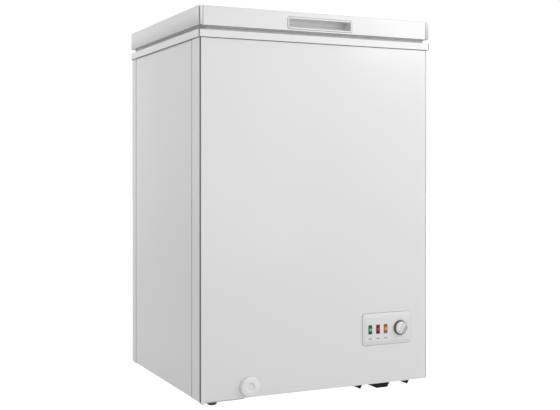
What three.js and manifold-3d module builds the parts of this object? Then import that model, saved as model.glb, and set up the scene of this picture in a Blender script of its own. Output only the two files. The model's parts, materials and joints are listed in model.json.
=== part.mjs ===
// A compact upright-bodied chest freezer of about 100 litres, as an assembly of separate pieces.
// Millimetres, +Z up. X runs from the left side to the right side, and the front faces -Y.
// Pieces are drawn with y = 0 at the cabinet's front face. The exported group then moves them so
// that the origin is at the centre of the footprint, on the floor.
import * as THREE from "three";
import { mergeVertices } from "three/addons/utils/BufferGeometryUtils.js";
import Module from "manifold-3d";

const wasm = await Module();
wasm.setup();

// ---------------------------------------------------------------- driving dimensions
const overallHeight = 850;
const cabinetWidth = 564;
const cabinetDepth = 487;
const footHeight = 18; // floor to the cabinet's lower edge
const lidHeight = 42;
const sealGap = 9.5; // lid's lower edge to the collar's top
const collarHeight = 15;
const collarWall = 3;
const overhang = 4; // lid and collar beyond the cabinet
const sheet = 0.8; // outer steel sheet
const wallThickness = 62; // outer face to the inside of the liner
const ledgeWidth = 12; // step in the collar that carries the basket
const ledgeDrop = 12;
const linerSheet = 1;
const linerCorner = 14; // upright corners of the storage space
const clearance = 0.3; // between pieces that touch

const cornerNotch = 2.8; // groove where the front panel meets a side panel
const embossDepth = 1.2; // side panels are pressed in between two upright lines
const embossFront = 50;
const embossBack = 33;
const embossSlope = 1.5;
const flangeReturn = 14; // folded edges of the front panel

const compartmentWidth = 200; // compressor compartment, at the right
const compartmentHeight = 215;
const compartmentInsulation = 50;
const partitionSheet = 1;

const hingeOffset = 190; // each hinge from the middle
const hingeReach = 20; // hinge channel behind the cabinet
const hingePinBehind = 11;
const hingePinRise = 3.5; // pin's axis above the collar's top
const hingePinRadius = 3;
const hingeHoleRadius = 3.4;
const hingeChannelWidth = 40;
const hingeChannelLength = 100;
const hingeSheet = 2;
const lidTravel = (80 * Math.PI) / 180;
const camReach = 10; // pin's axis to the plunger's contact when the lid is shut
const camLift = 4.5; // plunger's travel

const controlFromRight = 0.545 * compartmentWidth; // control plate's centre to the right side
const controlCentreZ = 142;
const controlWidth = 129;
const controlHeight = 72;
const controlProud = 4;
const controlBevel = 9; // sloping edge of the control plate
const controlHousingDepth = 26;
const lampWidth = 9;
const lampHeight = 19.5;
const lampPitch = 20.3;
const firstLampOffset = 45.8; // left of the plate's centre
const knobOffset = 33; // right of the plate's centre
const knobRadius = 17;
const knobReach = 18; // knob's front beyond the cabinet's front
const spindleRadius = 3;

const drainFromLeft = 111.8;
const drainZ = 42;
const drainDialRadius = 21.5;
const drainDialReach = 12;
const drainPipeRadius = 11;
const drainPipeBore = 8.6;
const spoutRadius = 8;
const spoutBore = 6;
const spoutLength = 62;
const drainWellY = 110; // where the pipe turns up to the liner's floor
const outletRadius = 1.7; // each small hole in the liner's floor
const outletRing = 5.2;
const stopperRadius = 14;

const handleWidth = 160;
const handleHeight = 26;
const handleCentreZ = overallHeight - 25.4;
const handleDepth = 34;
const handleBezel = 3.5;
const handleProud = 1.2;
const handleWall = 1.5;
const handleFloorRise = 12; // the pocket's floor slopes up towards the back
const lidEndTab = 10; // lid shell's wrap round the fascia at each end
const lidSheet = 1.2;
const lidPlateauDrop = 5.5; // inner lid panel below the collar's top
const lidPlateauGap = 4;
const fasciaWall = 2.5;
const fasciaDepth = 14;

const footCentre = 44; // round feet from the cabinet's faces
const footRadius = 12;
const bracketThickness = 2;
const plateSheet = 1.5;
const plateUnderside = 14;
const plateFromRight = 10; // compressor plate's edge to the cabinet's right side
const ribFromEdge = 31; // each V rib from the compressor plate's long edge
const ribBottom = 4.4;
const padWidth = 29;
const padLength = 50;
const padSetback = 29;

const compressorFromBack = 237; // compressor's centre to the cabinet's back
const compressorBase = 30; // underside of its mounting wings
const shellRadius = 58;
const shellHeight = 132;
const stubReach = 72; // compressor's centre to the ends of its tube stubs
const stubZ = 120;
const suctionStubX = 8;
const dischargeStubX = -20;

const basketWidth = 190;
const basketDepth = 200; // height of the basket
const wire = 3.5;
const basketPitch = 44;

// ---------------------------------------------------------------- worked-out places
const halfWidth = cabinetWidth / 2;
const lidHalf = halfWidth + overhang;
const lidBottom = overallHeight - lidHeight;
const collarTop = lidBottom - sealGap;
const collarBottom = collarTop - collarHeight;
const ledgeZ = collarTop - ledgeDrop;
const panelTop = collarTop - collarWall - 2;
const linerHalf = halfWidth - wallThickness;
const controlCentreX = halfWidth - controlFromRight;
const firstLampX = controlCentreX - firstLampOffset;
const knobX = controlCentreX + knobOffset;
const drainX = -halfWidth + drainFromLeft;
const compressorY = cabinetDepth - compressorFromBack;
const linerFront = wallThickness;
const linerBack = cabinetDepth - wallThickness;
const linerFloor = footHeight + wallThickness + 3;
const compartmentLeft = halfWidth - compartmentWidth;
const compartmentTop = footHeight + compartmentHeight;
const humpLeft = compartmentLeft - compartmentInsulation;
const humpTop = compartmentTop + compartmentInsulation + 5;
const hingePinY = cabinetDepth + hingePinBehind;
const hingePinZ = collarTop + hingePinRise;
const plateLeft = compartmentLeft + partitionSheet + 1;
const plateRight = halfWidth - plateFromRight;
const plateCentreX = (plateLeft + plateRight) / 2;
const ribHalfSpacing = (plateRight - plateLeft) / 2 - ribFromEdge;
const housingHalfW = controlWidth / 2 - 6;
const housingHalfH = controlHeight / 2 - 6;
const overallDepth = cabinetDepth + knobReach + hingeReach;

// ---------------------------------------------------------------- materials
const paint = (color, roughness, metalness) =>
  new THREE.MeshStandardMaterial({ color, roughness, metalness });
const finish = {
  whiteSteel: paint(0xe6e6e6, 0.35, 0.1),
  whitePlastic: paint(0xeeeeee, 0.4, 0),
  linerWhite: paint(0xe9ecee, 0.45, 0.1),
  greyPlastic: paint(0xcfd1d2, 0.45, 0),
  decal: paint(0xdcdddd, 0.35, 0),
  foam: paint(0xd9c98a, 0.95, 0),
  rubberWhite: paint(0xd8d8d6, 0.7, 0),
  darkRubber: paint(0x4a4a4a, 0.7, 0),
  black: paint(0x101010, 0.5, 0.2),
  zinc: paint(0xb9bcbf, 0.35, 0.9),
  copper: paint(0xb87346, 0.35, 0.9),
  coatedWire: paint(0xf0f0f0, 0.4, 0),
  green: paint(0x0f8f4a, 0.2, 0),
  red: paint(0xb00020, 0.2, 0),
  orange: paint(0xe07a1f, 0.2, 0),
};

// ---------------------------------------------------------------- geometry helpers
function bare(geometry) {
  geometry.deleteAttribute("normal");
  geometry.deleteAttribute("uv");
  return mergeVertices(geometry, 1e-4);
}

function toSolid(geometry) {
  const merged = bare(geometry.clone());
  return new wasm.Manifold(
    new wasm.Mesh({
      numProp: 3,
      vertProperties: new Float32Array(merged.attributes.position.array),
      triVerts: new Uint32Array(merged.index.array),
    }),
  );
}

function toGeometry(solid) {
  const mesh = solid.getMesh();
  const geometry = new THREE.BufferGeometry();
  geometry.setAttribute(
    "position",
    new THREE.BufferAttribute(mesh.vertProperties, 3),
  );
  geometry.setIndex(new THREE.BufferAttribute(mesh.triVerts, 1));
  return geometry;
}

const join = (...parts) =>
  toGeometry(parts.map(toSolid).reduce((sum, part) => sum.add(part)));
const cut = (body, ...tools) =>
  toGeometry(
    tools.map(toSolid).reduce((rest, tool) => rest.subtract(tool), toSolid(body)),
  );

// A block between two corners, given as [low, high] on each axis.
function block([x0, x1], [y0, y1], [z0, z1]) {
  return new THREE.BoxGeometry(x1 - x0, y1 - y0, z1 - z0).translate(
    (x0 + x1) / 2,
    (y0 + y1) / 2,
    (z0 + z1) / 2,
  );
}

const outline = (points) =>
  new THREE.Shape(points.map(([u, v]) => new THREE.Vector2(u, v)));

function extrude(shape, depth, curveSegments = 4) {
  return new THREE.ExtrudeGeometry(shape, {
    depth,
    bevelEnabled: false,
    curveSegments,
  });
}

// Outlines in (x, y), (x, z) or (y, z), extruded along the third axis between two values.
const alongZ = (shape, z0, z1, segments) =>
  extrude(shape, z1 - z0, segments).translate(0, 0, z0);
const alongY = (shape, y0, y1, segments) =>
  extrude(shape, y1 - y0, segments)
    .rotateX(Math.PI / 2)
    .translate(0, y1, 0);
const alongX = (shape, x0, x1, segments) =>
  extrude(shape, x1 - x0, segments).applyMatrix4(
    new THREE.Matrix4().set(0, 0, 1, x0, 1, 0, 0, 0, 0, 1, 0, 0, 0, 0, 0, 1),
  );

// A rectangle about (u, v) with round corners.
function roundedRect(u, v, width, height, radius) {
  const [a, b] = [width / 2 - radius, height / 2 - radius];
  const shape = new THREE.Shape();
  shape.absarc(u + a, v + b, radius, 0, Math.PI / 2);
  shape.absarc(u - a, v + b, radius, Math.PI / 2, Math.PI);
  shape.absarc(u - a, v - b, radius, Math.PI, 1.5 * Math.PI);
  shape.absarc(u + a, v - b, radius, 1.5 * Math.PI, 2 * Math.PI);
  shape.closePath();
  return shape;
}

// A turned piece: [radius, height] pairs from axis to axis, about Z, Y (heights run back) or X.
function turned(profile, sides = 20) {
  return new THREE.LatheGeometry(
    profile.map(([r, h]) => new THREE.Vector2(r, h)),
    sides,
  ).rotateX(Math.PI / 2);
}
const turnedBack = (profile, sides) =>
  turned(profile, sides).rotateX(-Math.PI / 2);
const turnedAcross = (profile, sides) =>
  turned(profile, sides).rotateY(Math.PI / 2);
const rod = (radius, h0, h1) => [
  [0, h0],
  [radius, h0],
  [radius, h1],
  [0, h1],
];

// A path through listed points, one extrusion step for each.
class PointPath extends THREE.Curve {
  constructor(points) {
    super();
    this.points = points;
  }
  getPoint(t, target = new THREE.Vector3()) {
    const last = this.points.length - 1;
    const place = Math.min(Math.max(t, 0), 1) * last;
    const i = Math.min(Math.floor(place), last - 1);
    return target.lerpVectors(this.points[i], this.points[i + 1], place - i);
  }
  getPointAt(u, target) {
    return this.getPoint(u, target);
  }
  getTangentAt(u, target) {
    return this.getTangent(u, target);
  }
}

// Replaces each inner corner of a polyline by an arc-like bend.
function bent(corners, radius, bendSteps = 3) {
  const points = corners.map((c) => new THREE.Vector3(...c));
  const path = [points[0]];
  for (let i = 1; i < points.length - 1; i++) {
    const into = points[i - 1].clone().sub(points[i]);
    const out = points[i + 1].clone().sub(points[i]);
    const reach = Math.min(radius, into.length() / 2.1, out.length() / 2.1);
    const start = points[i].clone().addScaledVector(into.normalize(), reach);
    const end = points[i].clone().addScaledVector(out.normalize(), reach);
    const bend = new THREE.QuadraticBezierCurve3(start, points[i], end);
    path.push(...bend.getPoints(bendSteps));
  }
  path.push(points[points.length - 1]);
  return path;
}

function tube(path, radius, sides = 6) {
  const ring = outline(
    Array.from({ length: sides }, (_, i) => {
      const angle = (2 * Math.PI * (i + 0.5)) / sides;
      return [radius * Math.cos(angle), radius * Math.sin(angle)];
    }),
  );
  return new THREE.ExtrudeGeometry(ring, {
    steps: path.length - 1,
    bevelEnabled: false,
    extrudePath: new PointPath(path),
  });
}

// ---------------------------------------------------------------- the group and its pieces
const freezer = new THREE.Group();
freezer.position.y = knobReach - overallDepth / 2;

function piece(name, geometry, material) {
  const mesh = new THREE.Mesh(geometry, material);
  mesh.name = name;
  freezer.add(mesh);
  return mesh;
}

// ---------------------------------------------------------------- outer cabinet
function frontPanel() {
  const edge = halfWidth - cornerNotch;
  const profile = outline([
    [-edge, 0],
    [edge, 0],
    [edge, flangeReturn],
    [edge - sheet, flangeReturn],
    [edge - sheet, sheet],
    [-edge + sheet, sheet],
    [-edge + sheet, flangeReturn],
    [-edge, flangeReturn],
  ]);
  const tabWidth = 8;
  const tabDrop = 5.5;
  const cornerTab = block(
    [-edge, -edge + tabWidth],
    [0, sheet],
    [footHeight - tabDrop, footHeight + 1],
  );
  const controlHole = alongY(
    roundedRect(
      controlCentreX,
      controlCentreZ,
      2 * (housingHalfW + clearance),
      2 * (housingHalfH + clearance),
      4,
    ),
    -1,
    flangeReturn,
  );
  const drainHole = turnedBack(
    rod(drainPipeRadius + clearance, -1, flangeReturn),
  ).translate(drainX, 0, drainZ);
  const skin = join(alongZ(profile, footHeight, panelTop), cornerTab);
  return cut(skin, controlHole, drainHole);
}

// The side panel's section seen from above, on the right for side = 1 and the left for side = -1.
function sideProfile(side) {
  const outer = halfWidth;
  const middle = outer - embossDepth;
  const line = [
    [outer, cornerNotch],
    [outer, embossFront],
    [middle, embossFront + embossSlope],
    [middle, cabinetDepth - embossBack - embossSlope],
    [outer, cabinetDepth - embossBack],
    [outer, cabinetDepth],
  ];
  const returnTo = outer - cornerNotch + clearance;
  const inner = line
    .slice()
    .reverse()
    .map(([x, y]) => [x - sheet, y]);
  inner[0] = [outer - sheet, cabinetDepth];
  inner[inner.length - 1] = [outer - sheet, cornerNotch + sheet];
  const section = [
    ...line,
    ...inner,
    [returnTo, cornerNotch + sheet],
    [returnTo, cornerNotch],
  ];
  return outline(section.map(([x, y]) => [side * x, y]));
}

const sidePanel = (side) => alongZ(sideProfile(side), footHeight, panelTop);

const coverMargin = 6; // round the rear cover
const coverThickness = 1.5;
const coverLip = 6; // the cover overlaps its opening by this much
const coverCentreX = (compartmentLeft + halfWidth) / 2;
const coverWidth = compartmentWidth - 20;
const coverBottom = footHeight + coverMargin;
const coverTop = compartmentTop - coverMargin;
const coverCentreZ = (coverBottom + coverTop) / 2;
const glandFromEdge = 22;
const glandX = coverCentreX - coverWidth / 2 + glandFromEdge;
const glandZ = coverBottom + glandFromEdge;
const glandRadius = 8;
const glandBore = 4;

function backPanel() {
  const inset = sheet + clearance;
  const skin = block(
    [-halfWidth + inset, halfWidth - inset],
    [cabinetDepth - sheet, cabinetDepth],
    [footHeight, panelTop],
  );
  const openingHalf = coverWidth / 2 - coverLip;
  const opening = block(
    [coverCentreX - openingHalf, coverCentreX + openingHalf],
    [cabinetDepth - 3, cabinetDepth + 1],
    [coverBottom + coverLip, coverTop - coverLip],
  );
  return cut(skin, opening, ...anchorHoles(channelScrewSpots, cabinetDepth));
}

// A plain rectangular slot about (u, v).
const slot = (u, v, width, height) =>
  outline([
    [u - width / 2, v - height / 2],
    [u - width / 2, v + height / 2],
    [u + width / 2, v + height / 2],
    [u + width / 2, v - height / 2],
  ]);

function rearCover() {
  const height = coverTop - coverBottom;
  const slots = 11;
  const slotHeight = 5;
  const slotPitch = 11;
  const firstSlot = height / 2 - 27;
  const plate = roundedRect(0, 0, coverWidth, height, 4);
  for (let i = 0; i < slots; i++) {
    plate.holes.push(slot(0, firstSlot - i * slotPitch, coverWidth - 50, slotHeight));
  }
  const gland = new THREE.Path();
  gland.absarc(
    glandX - coverCentreX,
    glandZ - coverCentreZ,
    glandRadius + clearance,
    0,
    2 * Math.PI,
    true,
  );
  plate.holes.push(gland);
  const front = cabinetDepth + clearance;
  return alongY(plate, front, front + coverThickness, 6).translate(coverCentreX, 0, coverCentreZ);
}

function cordGland() {
  const flange = glandRadius + 3;
  const inner = cabinetDepth - 8;
  const seat = cabinetDepth + coverThickness + 2 * clearance;
  const outer = cabinetDepth + 5;
  return turnedBack([
    [glandBore, inner],
    [glandRadius, inner],
    [glandRadius, seat],
    [flange, seat],
    [flange - 1, outer],
    [glandBore, outer],
    [glandBore, inner],
  ]).translate(glandX, 0, glandZ);
}

function basePanel() {
  const inset = cornerNotch + sheet + clearance;
  const plate = block(
    [-halfWidth + inset, compartmentLeft - clearance],
    [flangeReturn + clearance, cabinetDepth - sheet - clearance],
    [footHeight, footHeight + sheet],
  );
  return cut(plate, ...footRooms(clearance));
}

// The sheet that separates the foam from the compressor compartment.
function partition() {
  const profile = outline([
    [compartmentLeft, footHeight],
    [compartmentLeft + partitionSheet, footHeight],
    [compartmentLeft + partitionSheet, compartmentTop - partitionSheet],
    [halfWidth - 4, compartmentTop - partitionSheet],
    [halfWidth - 4, compartmentTop],
    [compartmentLeft, compartmentTop],
  ]);
  const sheetMetal = alongY(
    profile,
    flangeReturn + clearance,
    cabinetDepth - sheet - clearance,
  );
  const lineHole = (y, z) =>
    turnedAcross(rod(5, compartmentLeft - 2, compartmentLeft + 4), 10).translate(0, y, z);
  return cut(
    sheetMetal,
    lineHole(...suctionHole),
    lineHole(...dischargeHole),
  );
}

// ---------------------------------------------------------------- liner, foam and cooling tubes
// The storage space's outline in (x, z), grown outwards by g.
function cavityProfile(g, top) {
  return outline([
    [-linerHalf - g, linerFloor - g],
    [humpLeft + g, linerFloor - g],
    [humpLeft + g, humpTop - g],
    [linerHalf + g, humpTop - g],
    [linerHalf + g, top],
    [-linerHalf - g, top],
  ]);
}

// The storage space as a solid, grown by g, with its four upright corners rounded.
function cavity(g, top) {
  const prism = toSolid(alongY(cavityProfile(g, top), linerFront - g, linerBack + g));
  const plan = toSolid(
    alongZ(
      roundedRect(
        0,
        (linerFront + linerBack) / 2,
        2 * (linerHalf + g),
        linerBack - linerFront + 2 * g,
        linerCorner + g,
      ),
      linerFloor - g - 1,
      top + 1,
      3,
    ),
  );
  return toGeometry(prism.intersect(plan));
}

const linerTop = ledgeZ - collarWall - clearance;

// Meltwater leaves through a ring of small holes above the drain pipe.
function innerLiner() {
  const holes = 6;
  const outlets = Array.from({ length: holes }, (_, i) => {
    const angle = (2 * Math.PI * i) / holes;
    return turned(rod(outletRadius, linerFloor - 5, linerFloor + 5), 8).translate(
      drainX + outletRing * Math.cos(angle),
      drainWellY + outletRing * Math.sin(angle),
      0,
    );
  });
  return cut(cavity(linerSheet, linerTop), cavity(0, linerTop + 1), ...outlets);
}

const tubeRadius = 3.5;
const tubeRoom = (tubeRadius + 2 * clearance) * Math.SQRT2; // a square channel's half diagonal
const suctionHole = [cabinetDepth - 70, 120]; // where each tube passes the partition, as [y, z]
const dischargeHole = [cabinetDepth - 28, 60];

// The run of a tube from one of the compressor's stubs to its hole in the partition.
function compartmentRun(stubX, [y, z]) {
  const x = plateCentreX + stubX;
  const start = compressorY + stubReach + clearance;
  return [
    [x, start, stubZ],
    [x, start + 28, stubZ],
    [x, start + 28, z],
    [x, y, z],
  ];
}

// One loop of tube for each height, the rear run climbing to the next.
function evaporatorPath() {
  const firstLoop = humpTop + 82;
  const topLoop = linerTop - 113;
  const loopPitch = (topLoop - firstLoop) / 2;
  const gap = linerSheet + clearance + tubeRadius;
  const [left, front, back] = [-linerHalf - gap, linerFront - gap, linerBack + gap];
  const right = linerHalf + gap;
  const lowRight = humpLeft + gap + 22; // room for the bend round the step's front corner
  const [holeY, low] = suctionHole;
  const corners = [...compartmentRun(suctionStubX, suctionHole), [lowRight, holeY, low]];
  corners.push([lowRight, front, low], [left, front, low]);
  corners.push([left, back, low], [lowRight - 50, back, humpTop - 50]);
  corners.push([lowRight - 50, back, firstLoop], [right, back, firstLoop]);
  for (const z of [firstLoop, firstLoop + loopPitch, topLoop]) {
    corners.push([right, front, z], [left, front, z], [left, back, z]);
    if (z < topLoop) corners.push([right, back, z + loopPitch]);
  }
  corners.push([0, back, topLoop]);
  return bent(corners, linerCorner + 2, 2);
}

// A serpentine behind the left panel, with a run along the back to the compartment.
function condenserPath() {
  const side = -halfWidth + embossDepth + sheet + clearance + tubeRadius;
  const [back, low] = dischargeHole;
  const corners = [...compartmentRun(dischargeStubX, dischargeHole), [side, back, low]];
  const runs = 5;
  const pitch = 78;
  for (let i = 0; i < runs; i++) {
    const y = back - i * pitch;
    const [from, to] = i % 2 ? [panelTop - 73, 90] : [90, panelTop - 73];
    if (i) corners.push([side, y, from]);
    corners.push([side, y, to]);
  }
  return bent(corners, 30, 2);
}

function cabinetFoam() {
  const inset = sheet + embossDepth + clearance;
  const bottom = footHeight + sheet + clearance;
  // the compartment at the right is left out of the foam's outline
  const layer = (edge, y0, y1) =>
    toSolid(
      alongY(
        outline([
          [-edge, bottom],
          [compartmentLeft - clearance, bottom],
          [compartmentLeft - clearance, compartmentTop + clearance],
          [edge, compartmentTop + clearance],
          [edge, panelTop],
          [-edge, panelTop],
        ]),
        y0,
        y1,
      ),
    );
  const behindReturns = flangeReturn + clearance;
  const core = layer(halfWidth - inset, behindReturns, cabinetDepth - sheet - clearance);
  const betweenReturns = layer(
    halfWidth - cornerNotch - sheet - clearance,
    sheet + clearance,
    behindReturns + 1,
  );
  const rim = ledgeWidth + collarWall + clearance;
  const collarRoom = block(
    [-linerHalf - rim, linerHalf + rim],
    [linerFront - rim, linerBack + rim],
    [ledgeZ - collarWall - clearance, overallHeight],
  );
  const rooms = [
    cavity(linerSheet + clearance, overallHeight),
    collarRoom,
    drainHorizontal(drainPipeRadius + clearance, -1),
    drainUpright(drainPipeRadius + clearance),
    tube(evaporatorPath(), tubeRoom, 4),
    tube(condenserPath(), tubeRoom, 4),
    ...anchorRoom(channelScrewSpots, cabinetAnchorY),
    ...footRooms(2 * clearance),
  ];
  return toGeometry(
    rooms.reduce((rest, room) => rest.subtract(toSolid(room)), core.add(betweenReturns)),
  );
}

// ---------------------------------------------------------------- collar round the mouth
function collar() {
  const [y0, y1] = [-overhang, cabinetDepth];
  const outer = alongZ(
    roundedRect(0, (y0 + y1) / 2, 2 * lidHalf, y1 - y0, 3),
    collarBottom,
    collarTop,
    3,
  );
  const ledgeX = linerHalf + ledgeWidth;
  const [ledgeFront, ledgeBack] = [linerFront - ledgeWidth, linerBack + ledgeWidth];
  const mouth = block([-ledgeX, ledgeX], [ledgeFront, ledgeBack], [ledgeZ, collarTop + 1]);
  const linerMouth = block(
    [-linerHalf, linerHalf],
    [linerFront, linerBack],
    [collarBottom - 1, collarTop + 1],
  );
  const skirt = overhang - 1; // leaves 1 mm to the steel panels
  const hollow = cut(
    block(
      [-lidHalf + skirt, lidHalf - skirt],
      [y0 + skirt, y1 + 1],
      [collarBottom - 1, collarTop - collarWall],
    ),
    block(
      [-ledgeX - collarWall, ledgeX + collarWall],
      [ledgeFront - collarWall, ledgeBack + collarWall],
      [collarBottom - 2, collarTop],
    ),
  );
  return cut(outer, mouth, linerMouth, hollow);
}

// ---------------------------------------------------------------- drain
function drainHorizontal(radius, start = 0) {
  return turnedBack(rod(radius, start, drainWellY + drainPipeRadius - 2), 14).translate(
    drainX,
    0,
    drainZ,
  );
}

function drainUpright(radius, top = linerFloor - linerSheet - clearance) {
  return turned(rod(radius, drainZ, top), 14).translate(drainX, drainWellY, 0);
}

function drainPipe() {
  const body = join(drainHorizontal(drainPipeRadius), drainUpright(drainPipeRadius));
  const bores = join(
    turnedBack(rod(drainPipeBore, -1, drainWellY + drainPipeBore - 2), 14).translate(drainX, 0, drainZ),
    drainUpright(drainPipeBore, linerFloor),
  );
  return cut(body, bores);
}

function drainSpout() {
  const front = -drainDialReach + 5;
  const collarRadius = spoutRadius + 2;
  return turnedBack(
    [
      [spoutBore, front],
      [spoutRadius, front],
      [spoutRadius, -2.5],
      [collarRadius + 2, -2.5],
      [collarRadius + 2, -0.8],
      [spoutRadius, -0.8],
      [spoutRadius, front + spoutLength],
      [spoutBore, front + spoutLength],
      [spoutBore, front],
    ],
    14,
  ).translate(drainX, 0, drainZ);
}

// A dished cap that turns on the spout's front end to open or shut it.
function drainDial() {
  const skirt = spoutRadius + clearance;
  const dish = 12;
  return turnedBack(
    [
      [0, -drainDialReach + 3.5],
      [2.5, -drainDialReach + 2],
      [5, -drainDialReach + 3],
      [dish, -drainDialReach + 4],
      [dish + 2.5, -drainDialReach],
      [drainDialRadius - 3, -drainDialReach + 1],
      [drainDialRadius, -drainDialReach + 4.5],
      [drainDialRadius, -0.5],
      [drainDialRadius - 2, -0.5],
      [drainDialRadius - 2, -3],
      [skirt, -3],
      [skirt, -drainDialReach + 5 - clearance],
      [0, -drainDialReach + 5 - clearance],
    ],
    24,
  ).translate(drainX, 0, drainZ);
}

// A soft stopper that lies over the outlet's holes, with a grip to lift it by.
const drainPlug = () =>
  turned(
    [
      [0, linerFloor + clearance],
      [stopperRadius, linerFloor + clearance],
      [stopperRadius - 1, linerFloor + 3],
      [4, linerFloor + 4],
      [4.5, linerFloor + 9],
      [0, linerFloor + 9],
    ],
    14,
  ).translate(drainX, drainWellY, 0);

// ---------------------------------------------------------------- controls
const controlFace = -controlProud - clearance;

function lampCentres() {
  return [0, 1, 2].map((i) => firstLampX + i * lampPitch);
}

// A plate with a sloping edge and a hollow box behind it that sits in the front panel's cut-out.
function controlHousing() {
  const slope = new THREE.ExtrudeGeometry(
    roundedRect(
      controlCentreX,
      controlCentreZ,
      controlWidth - 2 * controlBevel,
      controlHeight - 2 * controlBevel,
      3,
    ),
    {
      depth: 1,
      bevelEnabled: true,
      bevelThickness: controlProud,
      bevelSize: controlBevel,
      bevelSegments: 1,
      curveSegments: 4,
    },
  )
    .rotateX(Math.PI / 2)
    .translate(0, controlFace + controlProud + 1, 0);
  const behind = block([0, 300], [-clearance, 60], [0, 300]);
  const wall = 2;
  const box = alongY(
    roundedRect(controlCentreX, controlCentreZ, 2 * housingHalfW, 2 * housingHalfH, 4),
    -1,
    controlHousingDepth,
  );
  const inside = block(
    [controlCentreX - housingHalfW + wall, controlCentreX + housingHalfW - wall],
    [-clearance - 1, controlHousingDepth + 1],
    [controlCentreZ - housingHalfH + wall, controlCentreZ + housingHalfH - wall],
  );
  const lampSlots = lampCentres().map((x) =>
    block(
      [x - lampWidth / 2 - clearance, x + lampWidth / 2 + clearance],
      [-20, 10],
      [
        controlCentreZ - lampHeight / 2 - clearance,
        controlCentreZ + lampHeight / 2 + clearance,
      ],
    ),
  );
  const spindleHole = turnedBack(rod(spindleRadius + 1, -20, 10), 16).translate(knobX, 0, controlCentreZ);
  return cut(join(cut(slope, behind), box), inside, ...lampSlots, spindleHole);
}

function lampLens(x) {
  const face = alongY(
    roundedRect(x, controlCentreZ, lampWidth, lampHeight, 1.2),
    controlFace - 1,
    8,
    2,
  );
  const flange = block(
    [x - lampWidth / 2 - 2, x + lampWidth / 2 + 2],
    [0.5, 3],
    [controlCentreZ - lampHeight / 2 - 2, controlCentreZ + lampHeight / 2 + 2],
  );
  return join(face, flange);
}

const knobFront = -knobReach;
const knobSkirt = 9; // how far the knob's round body stands behind its front

function thermostatKnob() {
  const body = turnedBack(
    [
      [0, knobFront + knobSkirt - 2],
      [knobRadius - 4.5, knobFront + knobSkirt - 2],
      [knobRadius - 4, controlFace - 4.5],
      [knobRadius - 1, controlFace - 4.5],
      [knobRadius, controlFace - 1],
      [spindleRadius + clearance, controlFace - 1],
      [spindleRadius + clearance, knobFront + knobSkirt + 1.5],
      [0, knobFront + knobSkirt + 1.5],
    ],
    24,
  );
  const gripWidth = 7;
  const gripLean = (30 * Math.PI) / 180;
  const grip = alongY(
    roundedRect(0, 0, gripWidth, 2 * (knobRadius - 5), 3.4),
    knobFront,
    knobFront + knobSkirt - 1,
  ).rotateY(gripLean);
  return join(body, grip).translate(knobX, 0, controlCentreZ);
}

function thermostatBody() {
  const front = 3;
  const back = controlHousingDepth - 3;
  const can = block(
    [knobX - 11, knobX + 11],
    [front, back],
    [controlCentreZ - 17, controlCentreZ + 17],
  );
  const bore = turnedBack(rod(spindleRadius + clearance, front - 1, front + 7), 16);
  return cut(can, bore.translate(knobX, 0, controlCentreZ));
}

const thermostatSpindle = () =>
  turnedBack(rod(spindleRadius, knobFront + knobSkirt + 2, 9), 16).translate(
    knobX,
    0,
    controlCentreZ,
  );

// ---------------------------------------------------------------- compressor and base
const wingHalf = 66;
const mountHalfX = 52;
const mountHalfY = 62;
const plateTop = plateUnderside + plateSheet;
const mountPoints = [-1, 1].flatMap((i) =>
  [-1, 1].map((j) => [plateCentreX + i * mountHalfX, compressorY + j * mountHalfY]),
);

function compressor() {
  const bottom = compressorBase + 1;
  const top = bottom + shellHeight;
  const seam = bottom + shellHeight * 0.55;
  const shell = turned(
    [
      [0, bottom],
      [shellRadius * 0.7, bottom],
      [shellRadius, bottom + 22],
      [shellRadius, seam - 3],
      [shellRadius + 4, seam - 3],
      [shellRadius + 4, seam + 3],
      [shellRadius, seam + 3],
      [shellRadius, top - 30],
      [shellRadius * 0.88, top - 14],
      [shellRadius * 0.55, top - 3],
      [0, top],
    ],
    20,
  );
  const wings = cut(
    alongZ(roundedRect(0, 0, 2 * wingHalf, 2 * (mountHalfY + 14), 10), compressorBase, compressorBase + 4),
    ...mountPoints.map(([x, y]) =>
      turned(rod(7, compressorBase - 1, compressorBase + 6), 10).translate(
        x - plateCentreX,
        y - compressorY,
        0,
      ),
    ),
  );
  const stub = (x) => turnedBack(rod(4.5, 40, stubReach), 8).translate(x, 0, stubZ);
  return join(shell, wings, stub(suctionStubX), stub(dischargeStubX)).translate(
    plateCentreX,
    compressorY,
    0,
  );
}

const terminalCover = () =>
  block(
    [plateCentreX - 26, plateCentreX + 26],
    [compressorY - shellRadius - 34, compressorY - shellRadius - 5],
    [62, 108],
  );

const grommet = ([x, y]) =>
  turned(
    [
      [4, plateTop + clearance],
      [9.5, plateTop + clearance],
      [9.5, compressorBase - clearance],
      [6.5, compressorBase - clearance],
      [6.5, compressorBase + 4.3],
      [9.5, compressorBase + 4.3],
      [8.5, compressorBase + 8],
      [4, compressorBase + 8],
      [4, plateTop + clearance],
    ],
    10,
  ).translate(x, y, 0);

// A stud welded to the plate, with the washer and nut that hold a grommet down.
const plateStud = ([x, y]) =>
  turned(
    [
      [0, plateUnderside + 0.5],
      [3.4, plateUnderside + 0.5],
      [3.4, compressorBase + 8.4],
      [9, compressorBase + 8.4],
      [9, compressorBase + 9.6],
      [6, compressorBase + 9.6],
      [6, compressorBase + 13],
      [0, compressorBase + 13],
    ],
    8,
  ).translate(x, y, 0);

const plateFront = flangeReturn + 6;
const plateBack = cabinetDepth - 8;
const ribHalfWidth = 6;

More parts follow.
